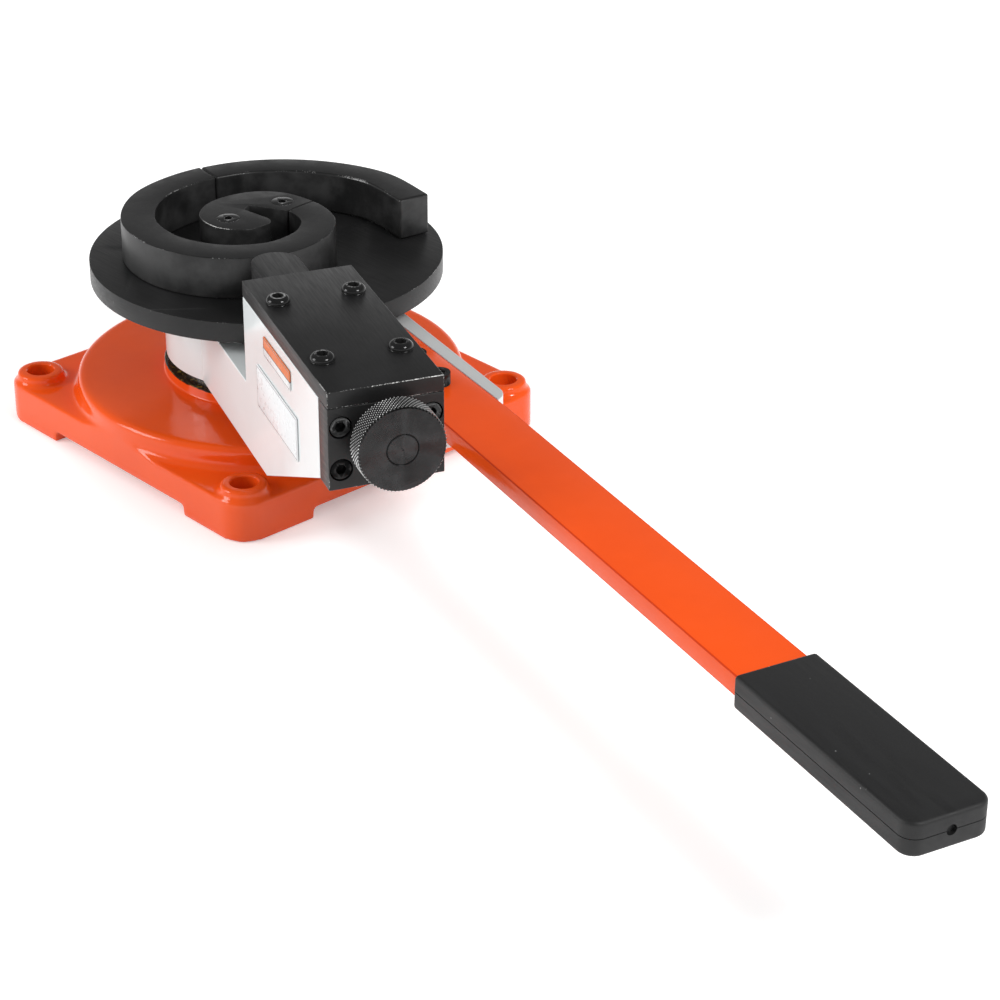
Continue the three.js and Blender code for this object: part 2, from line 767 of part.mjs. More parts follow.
function swingFrame() {
  const low = hubBottom - cutOverrun;
  const slab = block(0, housingFront, housingLeft, housingRight, hubBottom, slabTop);
  const housing = block(housingBack, housingFront, housingLeft, housingRight, hubBottom, cheekTop);
  const chinStart = housingFront - chinLength;
  const past = housingFront + cutOverrun;
  const chin = [
    [chinStart, low], [past, low], [past, endPlateBottom], [housingFront, endPlateBottom],
    [chinStart, hubBottom],
  ];
  let frame = joined(
    bar(hubRadius, hubBottom, slabTop, largeSides), slab, housing,
    turnedAboutZ(leverSeat(), leverSplay),
  );
  frame = cut(frame, sideways(chin, housingLeft - cutOverrun, housingRight + cutOverrun));
  frame = cut(frame, ...armPockets(), ...leverSeatPockets());
  const channelHalf = pusherWidth / 2 + slideClearance;
  frame = cut(
    frame,
    block(
      housingBack - cutOverrun, past, housingOffset - channelHalf, housingOffset + channelHalf,
      channelFloor, cheekTop + cutOverrun,
    ),
    turnedAboutZ(leverSlot(), leverSplay),
    bar(spindleRadius + bushWall + 2 * seatGap, low, slabTop + cutOverrun, pinSides),
  );
  eachCoverScrew((x, y) => {
    frame = cut(frame, moved(plainHole(buttonScrew.shank, buttonScrew.length), x, y, coverTop));
  });
  eachEndScrew((y, z) => {
    const hole = bar(socketScrew.shank + seatGap, -socketScrew.length - seatGap, cutOverrun);
    frame = cut(frame, laidAlongX(hole, endScrewSeat, y, z));
  });
  leverBoltPlaces.forEach((place) => {
    const hole = moved(plainHole(leverBolt.shank, leverBoltLength), place, leverMiddle, slabTop);
    frame = cut(frame, turnedAboutZ(hole, leverSplay));
  });
  return frame;
}

const endScrewSeat = endPlateFront - endScrewCounterboreDepth;
const leverBoltLength = leverThickness + leverBoltLengthBelow;

add(arm, 'swing_frame', swingFrame(), silverPaint);

const bushInner = spindleRadius + seatGap;
const bushOuter = bushInner + bushWall;
const bushes = [['lower_bush', hubBottom + seatGap], ['upper_bush', slabTop - seatGap - bushLength]];
bushes.forEach(([name, bottom]) => {
  add(arm, name, ring(bushInner, bushOuter, bottom, bottom + bushLength, pinSides), bronze);
});

const upperRingBottom = slabTop + seatGap;
const upperRing = ring(
  bushInner, upperRingOuterRadius, upperRingBottom, upperRingBottom + upperRingThickness, largeSides,
);
add(arm, 'upper_thrust_ring', upperRing, bronze);

// Cover plate

let cover = block(housingBack, endPlateFront, housingLeft, housingRight, coverBottom, coverTop);
eachCoverScrew((x, y) => {
  cover = cut(cover, moved(plainHole(buttonScrew.shank, buttonScrew.length), x, y, coverTop));
});
add(arm, 'cover_plate', cover, blackened);
eachCoverScrew((x, y, number) => {
  const screw = add(arm, `cover_screw_${number}`, domedScrew(buttonScrew, buttonScrew.length), blackened);
  screw.position.set(x, y, coverTop + seatGap);
});

// End plate, threaded for the lead screw

function endPlate() {
  let plate = block(endPlateBack, endPlateFront, housingLeft, housingRight, endPlateBottom, endPlateTop);
  const bore = bar(leadScrewRadius + seatGap, 0, endPlateThickness + 2 * cutOverrun, pinSides);
  plate = cut(plate, laidAlongX(bore, endPlateBack - cutOverrun, housingOffset, screwAxisHeight));
  eachEndScrew((y, z) => {
    const head = bar(
      socketScrew.head + endScrewCounterboreClearance, 0, endScrewCounterboreDepth + cutOverrun,
    );
    const hole = joined(head, plainHole(socketScrew.shank, endPlateThickness));
    plate = cut(plate, laidAlongX(hole, endScrewSeat, y, z));
  });
  return plate;
}

add(arm, 'end_plate', endPlate(), blackened);
eachEndScrew((y, z, number) => {
  const solid = headedScrew(socketScrew, socketScrew.length);
  const screw = add(arm, `end_plate_screw_${number}`, solid, blackened);
  screw.rotation.y = Math.PI / 2;
  screw.position.set(endScrewSeat + seatGap, y, z);
});

// Pusher bar with its round nose, and the pins that hold the lead screw's neck

const neckStart = pusherRear - screwSocketDepth + leadScrewCollarLength + seatGap;
const pinPlace = neckStart + leadScrewNeckLength / 2;
const pinOffset = leadScrewNeckRadius + seatGap + retainingPinRadius;

function pusherBar() {
  const half = pusherWidth / 2;
  const shape = new THREE.Shape();
  shape.moveTo(pusherRear, housingOffset - half);
  shape.lineTo(pusherRear, housingOffset + half);
  for (let step = 0; step <= 4 * arcSteps; step += 1) {
    const angle = Math.PI / 2 + (Math.PI * step) / (4 * arcSteps);
    const x = noseReach + half + half * Math.cos(angle);
    shape.lineTo(x, housingOffset + half * Math.sin(angle));
  }
  let solid = prism(shape, pusherBottom, pusherTop);
  const socket = bar(leadScrewCollarRadius + seatGap, -screwSocketDepth, cutOverrun, pinSides);
  solid = cut(solid, laidAlongX(socket, pusherRear, housingOffset, screwAxisHeight));
  [-pinOffset, pinOffset].forEach((offset) => {
    const hole = plainHole(retainingPinRadius, pusherHeight + cutOverrun);
    solid = cut(solid, moved(hole, pinPlace, housingOffset + offset, pusherTop));
  });
  return solid;
}

add(arm, 'pusher_bar', pusherBar(), blackened);
[-pinOffset, pinOffset].forEach((offset, i) => {
  const solid = bar(retainingPinRadius, pusherBottom + seatGap, pusherTop - seatGap);
  add(arm, `retaining_pin_${i + 1}`, solid, steel).position.set(pinPlace, housingOffset + offset, 0);
});

// Lead screw and knob, turned about the screw axis and laid along the arm

function leadScrew() {
  const tip = pusherRear - screwSocketDepth + seatGap;
  const collarEnd = leadScrewCollarLength;
  const neckEnd = collarEnd + leadScrewNeckLength;
  const shoulder = pusherRear + seatGap - tip;
  const end = knobFront - tip;
  const chamfer = leadScrewEndChamfer;
  const profile = [
    [0, 0], [leadScrewCollarRadius, 0], [leadScrewCollarRadius, collarEnd],
    [leadScrewNeckRadius, collarEnd], [leadScrewNeckRadius, neckEnd],
    [leadScrewCollarRadius, neckEnd], [leadScrewCollarRadius, shoulder],
    [leadScrewRadius, shoulder], [leadScrewRadius, end - chamfer], [leadScrewRadius - chamfer, end],
    [0, end],
  ];
  return laidAlongX(turned(profile, pinSides), tip, housingOffset, screwAxisHeight);
}

add(arm, 'lead_screw', leadScrew(), blackened);

function knob() {
  const chamfer = knobEdgeChamfer;
  const profile = [
    [0, 0], [knobRadius - chamfer, 0], [knobRadius, chamfer], [knobRadius, knobLength - chamfer],
    [knobRadius - chamfer, knobLength], [0, knobLength],
  ];
  const bore = bar(leadScrewRadius + seatGap, -cutOverrun, knobLength + cutOverrun, pinSides);
  const body = laidAlongX(cut(turned(profile, largeSides), bore), knobBack, housingOffset, screwAxisHeight);
  const screwHole = bar(setScrew.radius + seatGap, -knobRadius - cutOverrun, 0);
  return cut(body, moved(screwHole, knobBack + knobLength / 2, housingOffset, screwAxisHeight));
}

add(arm, 'knob', knob(), blackened);

const setScrewPlace = knobBack + knobLength / 2;
const setScrewTop = screwAxisHeight - leadScrewRadius - seatGap;
const setScrewKeyTop = setScrew.keyDepth - setScrew.length;
const setScrewSolid = cut(
  bar(setScrew.radius, -setScrew.length, 0),
  bar(setScrew.key / Math.sqrt(3), -setScrew.length - cutOverrun, setScrewKeyTop, hexSides),
);
add(arm, 'knob_set_screw', setScrewSolid, blackened).position.set(setScrewPlace, housingOffset, setScrewTop);

// Lever bar, its bolts and the rubber grip

function leverBar() {
  const corners = [
    new THREE.Vector2(leverInnerEnd, leverNearSide), new THREE.Vector2(leverOuterEnd, leverNearSide),
    new THREE.Vector2(leverOuterEnd, leverFarSide), new THREE.Vector2(leverTangEnd, leverFarSide),
    new THREE.Vector2(leverInnerEnd, ribInnerSide(leverInnerEnd)),
  ];
  let solid = prism(corners, leverBottom, slabTop);
  leverBoltPlaces.forEach((place) => {
    solid = cut(solid, moved(plainHole(leverBolt.shank, leverBoltLength), place, leverMiddle, slabTop));
  });
  return solid;
}

add(lever, 'lever_bar', leverBar(), enamel);
leverBoltPlaces.forEach((place, i) => {
  const solid = headedScrew(leverBolt, leverBoltLength - seatGap);
  const bolt = add(lever, `lever_bolt_${i + 1}`, solid, blackened);
  bolt.position.set(place, leverMiddle, slabTop + seatGap);
});

function leverGrip() {
  const half = leverWidth / 2 + gripWall;
  const bottom = leverBottom - gripFloor;
  const top = slabTop + gripWall;
  const end = leverOuterEnd + gripEndWall;
  const start = end - gripLength;
  const edge = gripEdgeRadius;
  const plan = roundedRectangle(start, end, leverMiddle - half, leverMiddle + half, gripCornerRadius);
  const section = roundedRectangle(leverMiddle - half, leverMiddle + half, bottom, top, edge);
  const tube = prism(section, start, end).rotate([90, 0, 90]);
  const body = prism(plan, bottom, top).intersect(tube);
  const pocket = block(
    start - cutOverrun, leverOuterEnd + seatGap, leverNearSide - seatGap, leverFarSide + seatGap,
    leverBottom - seatGap, slabTop + seatGap,
  );
  const hole = bar(gripEndHoleRadius, 0, 2 * cutOverrun + gripEndWall);
  return cut(body, pocket, laidAlongX(hole, leverOuterEnd, leverMiddle, leverMidHeight));
}

add(lever, 'lever_grip', leverGrip(), rubber);

// Blank labels

[['lower_label', lowerLabel], ['upper_label', upperLabel]].forEach(([name, label]) => {
  const face = housingLeft - seatGap;
  const plate = block(
    label.start, label.start + label.length, face - labelThickness, face,
    label.bottom, label.bottom + label.height,
  );
  add(arm, name, plate, foil);
});

export default bender;
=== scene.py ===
# Looks of a bench scroll bender: painted castings, blackened steel and a rubber grip, modelled round the
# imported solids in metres. The arm and the lever have frames of their own, turned about the swing axis.
import cmath
import json
import math
from collections import namedtuple
from contextlib import contextmanager
from functools import cached_property

import bpy
from mathutils import Matrix, Vector


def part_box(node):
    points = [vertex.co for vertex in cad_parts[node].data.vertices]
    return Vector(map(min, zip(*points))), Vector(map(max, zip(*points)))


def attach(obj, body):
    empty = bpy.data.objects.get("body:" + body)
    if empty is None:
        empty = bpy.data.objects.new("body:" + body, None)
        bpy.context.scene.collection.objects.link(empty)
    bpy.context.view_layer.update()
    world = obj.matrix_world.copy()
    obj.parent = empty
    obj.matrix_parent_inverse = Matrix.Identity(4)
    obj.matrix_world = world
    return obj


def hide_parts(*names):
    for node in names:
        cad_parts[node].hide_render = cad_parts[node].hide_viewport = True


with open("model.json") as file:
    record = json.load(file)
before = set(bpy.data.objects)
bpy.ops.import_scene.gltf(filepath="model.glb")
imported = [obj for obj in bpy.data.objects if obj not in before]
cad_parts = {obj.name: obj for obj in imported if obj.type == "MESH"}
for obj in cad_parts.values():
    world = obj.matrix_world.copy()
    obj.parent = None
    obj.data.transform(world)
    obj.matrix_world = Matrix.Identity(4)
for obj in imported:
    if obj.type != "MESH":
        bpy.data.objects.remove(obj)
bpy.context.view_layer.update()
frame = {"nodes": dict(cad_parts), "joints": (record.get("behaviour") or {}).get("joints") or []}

MM = 0.001
FULL_TURN = 2 * math.pi
QUARTER_TURN = math.pi / 2

# Clearance round what sits in a hole, how far a cutter reaches past a face, what counts as no distance,
# and a distance past everything
GAP = 0.3 * MM
OVERRUN = 3 * MM
CLOSE = 0.01 * MM
FAR = 1

# Facets of round shapes
LARGE_SIDES = 256
HOLE_SIDES = 64
SCREW_SIDES = 48
SMALL_SIDES = 32
HEX_SIDES = 6
CORNER_STEPS = 10

# Frames of the arm and the lever
slide = next(joint for joint in frame["joints"] if joint["name"] == "pusher_slide")
ARM_ANGLE = math.atan2(slide["axis"][1], slide["axis"][0])
LEVER_ANGLE = ARM_ANGLE + math.radians(7.12)
HERE = Matrix.Identity(4)
ARM = Matrix.Rotation(ARM_ANGLE, 4, "Z")
LEVER = Matrix.Rotation(LEVER_ANGLE, 4, "Z")

# Base casting
FLANGE_HEIGHT = 28.8 * MM
BASE_CORNER_RADIUS = 20 * MM
FOOT_NOTCH_HEIGHT = 7.3 * MM
FOOT_LENGTH = 64 * MM
PEDESTAL_HEIGHT = 45.5 * MM
PEDESTAL_EDGE_RADIUS = 5 * MM
PEDESTAL_FOOT_FILLET = 6 * MM
PIVOT_BOSS_RADIUS = 76 * MM
PIVOT_BOSS_FILLET = 1.5 * MM
PIVOT_BOSS_SINK = 4 * MM
PIVOT_BOSS_EDGE = 0.4 * MM
EAR_BOSS_RADIUS = 16.5 * MM
EAR_BOSS_SPREAD = 3 * MM
EAR_BOSS_TOP = 35.9 * MM
EAR_FILLET = 4 * MM
BENCH_HOLE_RADIUS = 9.5 * MM
BENCH_HOLE_CHAMFER = 0.9 * MM
BASE_WALL = 14 * MM
BASE_ROOF = 13 * MM
BASE_RIB = 12 * MM
BASE_RIB_COUNT = 8
BASE_CORE_RADIUS = 64 * MM
SPINDLE_SEAT_DEPTH = 12.3 * MM
CAST_VOXEL = 1.4 * MM
CAST_SMOOTHING = 7
CAST_SOFTNESS = 0.5
CAST_FACES = 37_500

# Scroll former: radius as shares of the plate radius, every 30 degrees clockwise from the eye's tip
SPIRAL_START = math.radians(-30)
SPIRAL_STEP = 30
SPIRAL_RADIUS_SHARES = (
    0.184, 0.288, 0.348, 0.372, 0.352, 0.318, 0.302, 0.290, 0.287, 0.334, 0.422,
    0.523, 0.630, 0.707, 0.770, 0.809, 0.812, 0.791, 0.797, 0.826, 0.892, 0.974,
)
SPIRAL_SAMPLE = 1.5
EYE_TURN = 252
MIDDLE_TURN = 520
OUTER_TURN = 626.5
FORMER_WALL = 24 * MM
JOINT_GAP = MM
FORMER_EDGE = 1.6 * MM
HOOK_SLOT_CORNER = complex(-16.5, -1.6) * MM
HOOK_SLOT_END_WIDTH = 8.8 * MM
HOOK_SLOT_END_ANGLE = math.radians(-60)
HOOK_SLOT_FAR_ANGLE = math.radians(27)
HOOK_SLOT_NEAR_ANGLE = math.radians(6.5)
HOOK_SLOT_LENGTH = 44 * MM
LOBE_TIP_RADIUS = 10 * MM
LOBE_TIP_PLACE = (10.8 * MM, -16.6 * MM)
# Middle of the painted highlight on the rim of the eye's near lobe
LOBE_RIM_HIGHLIGHT_PLACE = Vector((0, -43, 163)) * MM
RUBBED_PLACE = Vector((45, -20, 148)) * MM

# Swing frame
HUB_RADIUS = 74.5 * MM
CHIN_LENGTH = 118.8 * MM
RIB_END = 248 * MM
RIB_END_SIDE = 63.6 * MM
RIB_OUTER_TAPER = math.radians(0.95)
RIB_CORNER_RADIUS = 15 * MM
LEVER_TANG_END = 260 * MM
LEVER_TANG_TAPER = math.radians(1.75)
SEAT_CHIN_LENGTH = 74 * MM
SEAT_CHIN_RISE = 24 * MM
FRAME_EDGE_RADIUS = 0.9 * MM
POCKET_WALL = 12 * MM
POCKET_ROOF = 14 * MM
POCKET_RIB = 12 * MM
SLAB_POCKET_START = 92 * MM

# Edges of steel pieces
STEEL_EDGE = 0.45 * MM
SCREW_EDGE = 0.35 * MM
LEVER_EDGE_RADIUS = 0.8 * MM

# Screws: head radius and height, shank radius, key across flats, key depth, length below the head or in all
Screw = namedtuple("Screw", "head height shank key depth length")
eye_screw_low, eye_screw_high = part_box("eye_screw_1")
SOCKET_HEAD = Screw(6.5 * MM, 8 * MM, 4 * MM, 6 * MM, 4 * MM, 22 * MM)
BUTTON_HEAD = Screw(8 * MM, 4.4 * MM, 4 * MM, 6.6 * MM, 2.9 * MM, 18 * MM)
LEVER_HEAD = Screw(8 * MM, 8 * MM, 5 * MM, 8 * MM, 5 * MM, 26 * MM)
SUNK_HEAD = Screw(8 * MM, 4.4 * MM, 4 * MM, 5 * MM, 3 * MM, eye_screw_high.z - eye_screw_low.z)
BOLT_SHOULDER = 3 * MM
KEY_MOUTH = 0.45 * MM
KEY_POINT_RADIUS = 0.3 * MM
SCREW_TIP = 0.6 * MM
SOCKET_TOP = 0.6 * MM
SOCKET_REACH = 8 * MM
DOME_FLAT_SHARE = 0.55
DOME_SKIRT_SHARE = 0.12

# Lead screw and knob
COLLAR_RADIUS = 8 * MM
COLLAR_END = 9 * MM
NECK_RADIUS = 5.5 * MM
NECK_END = 15.8 * MM
PLUG_EDGE = 0.5 * MM
DIMPLE_RADIUS = 0.9 * MM
DIMPLE_DEPTH = 0.8 * MM
DIMPLE_SIDES = 24
THREAD_PITCH = 4 * MM
THREAD_DEPTH = 1.4 * MM
THREAD_SINK = 0.3 * MM
THREAD_TURNS = 19
THREAD_STEPS = 24
KNURL_COUNT = 72
KNURL_ROWS = 10
KNURL_DEPTH = 1.1 * MM
KNOB_CHAMFER = 1.3 * MM
KNOB_RIM = 0.5 * MM
RING_LEAN = 0.6
RING_PITCH = 0.23 * MM

# Grip and labels
GRIP_CORNER_RADIUS = 10 * MM
GRIP_EDGE_RADIUS = 2.6 * MM
GRIP_SEAM_HEIGHT = 103.2 * MM
GRIP_SEAM_WIDTH = 0.5 * MM
GRIP_SEAM_DEPTH = 0.7 * MM
GRIP_HOLE_RADIUS = 3.3 * MM
GRIP_HOLE_DEPTH = 2.6 * MM
LABEL_CORNER_RADIUS = 1.5 * MM
LABEL_EDGE_RADIUS = 0.2 * MM
LABEL_LINE_INSET = 1.1 * MM
LABEL_LINE_WIDTH = 0.25 * MM
LABEL_LINE = 0.12

# Floor, background, lamps as (name, azimuth, elevation, distance, size, power), and camera
WHITE = (1, 1, 1, 1)
FLOOR_COLOUR = (0.86, 0.86, 0.86, 1)
FLOOR_SIZE = 40
FLOOR_DROP = 0.5 * MM
FLOOR_LIFT = 0.3
CEILING_SHARE = 0.22
DIM_FROM, DIM_TO = 0.05, 0.38
WORLD_LIGHT = 0.63
LAMPS = (("key_lamp", -125, 24, 4.0, 1.7, 66), ("fill_lamp", 8, 42, 4.0, 1.1, 82))
LAMP_TARGET = Vector((0.15, -0.05, 0.09))
CAMERA_PLACE = Vector((1.50562, -1.16913, 0.94496))
CAMERA_ANGLES = (137.17, -28.05, 0.23)
CAMERA_LENS = 104.46
SENSOR_WIDTH = 36
CLIP_NEAR, CLIP_FAR = 0.05, 60


def box_in(node_name, turn):
    """Lowest and highest corner of a CAD node, seen in a frame that is turned about Z."""
    back = turn.inverted()
    points = [back @ vertex.co for vertex in frame["nodes"][node_name].data.vertices]
    return tuple(Vector([pick(point[i] for point in points) for i in range(3)]) for pick in (min, max))


def middle_in(node_name, turn):
    low, high = box_in(node_name, turn)
    return (low + high) / 2


def numbered(name, count):
    return [f"{name}_{i + 1}" for i in range(count)]


DOWELS = [name for kind in ("plate", "middle", "outer") for name in numbered(kind + "_dowel", 2)]


# Modelling steps


def take(piece):
    """Makes a piece the only one selected, and the active one."""
    bpy.ops.object.select_all(action="DESELECT")
    piece.select_set(True)
    bpy.context.view_layer.objects.active = piece


def primitive(name, add, **settings):
    """Adds a named primitive, with its place moved into its mesh."""
    bpy.ops.object.select_all(action="DESELECT")
    add(**settings)
    piece = bpy.context.active_object
    bpy.ops.object.transform_apply(location=True, rotation=True, scale=True)
    piece.name = name
    return piece


@contextmanager
def editing(piece):
    """Edit mode with all of a piece selected. Its faces are turned outwards at the end."""
    take(piece)
    bpy.ops.object.mode_set(mode="EDIT")
    bpy.ops.mesh.select_all(action="SELECT")
    yield
    bpy.ops.mesh.select_all(action="SELECT")
    bpy.ops.mesh.normals_make_consistent(inside=False)
    bpy.ops.object.mode_set(mode="OBJECT")


def modify(piece, kind, **settings):
    """Adds a modifier to a piece with its settings, and applies it."""
    take(piece)
    modifier = piece.modifiers.new(kind.lower(), kind)
    for key, value in settings.items():
        setattr(modifier, key, value)
    bpy.ops.object.modifier_apply(modifier=modifier.name)
    return piece


def block(name, low, high):
    low, high = Vector(low), Vector(high)
    add = bpy.ops.mesh.primitive_cube_add
    return primitive(name, add, size=1, location=(low + high) / 2, scale=high - low)


def bar(name, bottom, top, radius, sides=HOLE_SIDES, place=(0, 0)):
    """A round bar standing at a place given as (x, y)."""
    middle = (*place, (bottom + top) / 2)
    add = bpy.ops.mesh.primitive_cylinder_add
    return primitive(name, add, vertices=sides, radius=radius, depth=top - bottom, location=middle)


def raise_sheet(piece, height):
    """Extrudes a flat sheet upwards into a solid."""
    with editing(piece):
        bpy.ops.mesh.extrude_region_move(TRANSFORM_OT_translate={"value": (0, 0, height)})
    return piece


def prism(name, outline, bottom, top):
    """An upright solid over an outline of (x, y) points: a flat disc drawn onto it, then extruded."""
    add = bpy.ops.mesh.primitive_circle_add
    piece = primitive(name, add, vertices=len(outline), radius=1, fill_type="NGON")
    for vertex, (x, y) in zip(piece.data.vertices, outline):
        vertex.co = (x, y, bottom)
    return raise_sheet(piece, top - bottom)


def turned(name, profile, sides=SCREW_SIDES):
    """A solid turned about Z from (radius, height) pairs: a disc, extruded and resized ring by ring."""
    radius, height = profile[0]
    add = bpy.ops.mesh.primitive_circle_add
    piece = primitive(name, add, vertices=sides, radius=radius, fill_type="NGON", location=(0, 0, height))
    with editing(piece):
        bpy.ops.mesh.select_mode(type="EDGE")
        for next_radius, next_height in profile[1:]:
            bpy.ops.mesh.extrude_edges_move(TRANSFORM_OT_translate={"value": (0, 0, next_height - height)})
            share = next_radius / radius
            bpy.ops.transform.resize(value=(share, share, 1), center_override=(0, 0, 0))
            radius, height = next_radius, next_height
        bpy.ops.mesh.edge_face_add()
    return piece


def move(piece, matrix):
    """Moves a piece's mesh, so that its object stays at the origin."""
    piece.data.transform(matrix)
    piece.data.update()
    return piece


def laid_at(x, y, z):
    """Lays what was modelled upright along the arm, with its foot at a place."""
    return Matrix.Translation((x, y, z)) @ Matrix.Rotation(QUARTER_TURN, 4, "Y")


def side_prism(name, outline, near, far):
    """A solid along Y over an outline of (x, z) points."""
    return move(prism(name, outline, -far, -near), Matrix.Rotation(QUARTER_TURN, 4, "X"))


def combine(piece, others, operation):
    """Joins others to a piece, cuts them from it or keeps what they share, and uses them up."""
    for other in others:
        modify(piece, "BOOLEAN", operation=operation, solver="EXACT", object=other)
        bpy.data.objects.remove(other, do_unlink=True)
    return piece


def join(piece, *others):
    return combine(piece, others, "UNION")


def cut(piece, *others):
    return combine(piece, others, "DIFFERENCE")


def tidy(piece):
    """Merges doubles and takes out the lines that a cut leaves on flat faces."""
    with editing(piece):
        bpy.ops.mesh.remove_doubles(threshold=CLOSE)
        bpy.ops.mesh.dissolve_limited(angle_limit=math.radians(0.2))


def slots(piece, count=2):
    """Empty material slots, so that a bevel can mark its faces with the second one."""
    while len(piece.data.materials) < count:
        piece.data.materials.append(None)
    return piece


def bevel(piece, width, segments=3, above=35, edge_slot=-1):
    """Rounds the edges that are sharper than an angle in degrees. The rounded faces can take a material slot,
    for worn edges and for painted light along edges.
    """
    return modify(
        piece, "BEVEL", width=width, segments=segments, limit_method="ANGLE",
        angle_limit=math.radians(above), miter_outer="MITER_ARC", material=edge_slot,
    )


def smooth(piece, below=32):
    """Shades a piece smooth across the edges flatter than an angle in degrees."""
    take(piece)
    bpy.ops.object.shade_smooth_by_angle(angle=math.radians(below))
    return piece


def drill_for(piece, nodes, turn=HERE, gap=GAP):
    """Drills a clearance hole for each upright CAD node, from its own place and size."""
    for node_name in nodes:
        low, high = box_in(node_name, turn)
        place = middle_in(node_name, turn).xy
        hole = bar("hole", low.z - gap, high.z + OVERRUN, (high.x - low.x) / 2 + gap, place=place)
        cut(piece, move(hole, turn))
    return piece


def arc(x, y, radius, start, end, steps=6, rise=None):
    """Points along an arc about a centre, between two angles in degrees. With a rise it is an ellipse's."""
    angles = [math.radians(start + (end - start) * i / steps) for i in range(steps + 1)]
    return [(x + radius * math.cos(a), y + (rise or radius) * math.sin(a)) for a in angles]


def corner(x, y, radius, start):
    """Points round a quarter-circle corner, from an angle in degrees on."""
    return arc(x, y, radius, start, start + 90, CORNER_STEPS)


def rounded_rectangle(low, high, radius):
    """Points of a rectangle with round corners."""
    left, right = low[0] + radius, high[0] - radius
    near, far = low[1] + radius, high[1] - radius
    centres = ((right, near, -90), (right, far, 0), (left, far, 90), (left, near, 180))
    return [point for x, y, start in centres for point in corner(x, y, radius, start)]


def mark_faces(piece, slot, wanted):
    """Gives a material slot to the faces for which wanted(centre, normal) holds."""
    for face in piece.data.polygons:
        if wanted(face.center, face.normal):
            face.material_index = slot


def dress(piece, body, slot, node_name, *finishes):
    """Gives a finished piece its materials and its body, and hides the node that it stands for. Its slot is
    not used.
    """
    slots(piece, len(finishes))
    for i, finish in enumerate(finishes):
        piece.data.materials[i] = finish.material
    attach(piece, body)
    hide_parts(node_name)
    return piece


def complete(piece, body, slot, node_name, *finishes, turn=HERE, below=32):
    """Moves a piece into its frame, shades it smooth and dresses it."""
    return dress(smooth(move(piece, turn), below), body, slot, node_name, *finishes)


# Materials


def rgba(colour):
    """A colour as a socket holds it: from a grey level, from three parts, or as it is."""
    if isinstance(colour, bpy.types.NodeSocket):
        return colour
    return (*colour, 1) if isinstance(colour, tuple) else (colour, colour, colour, 1)


def node(owner, kind, inputs, **settings):
    """The outputs of a new shader node with its settings, and its inputs as values or as links."""
    tree = owner.node_tree
    made = tree.nodes.new("ShaderNode" + kind)
    for key, value in settings.items():
        setattr(made, key, value)
    for key, value in inputs.items():
        if isinstance(value, bpy.types.NodeSocket):
            tree.links.new(value, made.inputs[key])
        else:
            made.inputs[key].default_value = value
    return made.outputs


class Finish:
    """A material whose nodes read the place on the piece, in metres."""

    def __init__(self, name, colour, roughness, metallic=0.0, specular=0.5):
        self.material = bpy.data.materials.new(name)
        self.material.use_nodes = True
        self.shader = self.material.node_tree.nodes["Principled BSDF"].inputs
        self.shader["Base Color"].default_value = rgba(colour)
        self.shader["Roughness"].default_value = roughness
        self.shader["Metallic"].default_value = metallic
        self.shader["Specular IOR Level"].default_value = specular

    def add(self, kind, inputs, output=0, **settings):
        return node(self.material, kind, inputs, **settings)[output]

    def place(self, angle=0.0, stretch=(1, 1, 1), centre=(0, 0, 0)):
        """Places about a centre, turned back by an angle about Z, then stretched."""
        where = self.add("TexCoord", {}, "Object")
        scale = tuple(1 / share if share else 0 for share in stretch)
        inputs = {"Vector": where, "Location": tuple(centre), "Rotation": (0, 0, angle), "Scale": scale}
        return self.add("Mapping", inputs, vector_type="TEXTURE")

    @cached_property
    def plain(self):
        return self.place()

    def distance(self, centre, stretch=(1, 1, 1)):
        """How far a place is from a centre, or with a stretch of (0, 1, 1) from the arm's line through it."""
        return self.add("VectorMath", {0: self.place(ARM_ANGLE, stretch, centre)}, 1, operation="LENGTH")

    def noise(self, scale, detail=3.0, rough=0.55, place=None):
        where = self.plain if place is None else place
        return self.add("TexNoise", {"Vector": where, "Scale": scale, "Detail": detail, "Roughness": rough})

    def ramp(self, value, low, high, to_low=0.0, to_high=1.0):
        """Maps a value from one range onto another, smoothly and within its ends."""
        inputs = {"Value": value, "From Min": low, "From Max": high, "To Min": to_low, "To Max": to_high}
        return self.add("MapRange", inputs, interpolation_type="SMOOTHSTEP")

    def mix(self, share, first, second):
        """A colour between two, by a share."""
        return self.add("Mix", {0: share, 6: rgba(first), 7: rgba(second)}, 2, data_type="RGBA")

    def blend(self, value, low, high, first, second):
        """A colour that goes from one to another over a range of a value."""
        return self.mix(self.ramp(value, low, high), first, second)

    def split(self, place):
        return node(self.material, "SeparateXYZ", {0: place})

    def calc(self, operation, *values, kind="Math"):
        return self.add(kind, dict(enumerate(values)), operation=operation)

    def times(self, first, second):
        return self.calc("MULTIPLY", first, second)

    def link(self, socket, output):
        self.material.node_tree.links.new(output, self.shader[socket])

    def surface(self, colour, rough, *bumps, normal=None):
        """Links the colour, the roughness and bumps of (height, distance in metres), one on the other."""
        for height, distance in bumps:
            below = {} if normal is None else {"Normal": normal}
            normal = self.add("Bump", {"Height": height, "Distance": distance, "Strength": 1.0, **below})
        for socket, output in (("Base Color", colour), ("Roughness", rough), ("Normal", normal)):
            self.link(socket, output)
        return self

    def cover(self, share, colour):
        """Lays a colour over the finish's own, by a share."""
        self.link("Base Color", self.mix(share, self.shader["Base Color"].links[0].from_socket, colour))
        return self


def enamel(name, colour, shade, waviness, specular=0.4):
    """Glossy machine paint: slight drifts of colour, orange peel and the casting's waviness."""
    paint = Finish(name, colour, 0.2, specular=specular)
    body = paint.blend(paint.noise(14, 4), 0.3, 0.75, colour, shade)
    rough = paint.ramp(paint.noise(55, 5), 0.25, 0.8, 0.1, 0.2)
    return paint.surface(body, rough, (paint.noise(30, 2), waviness), (paint.noise(260, 2), 0.006 * MM))


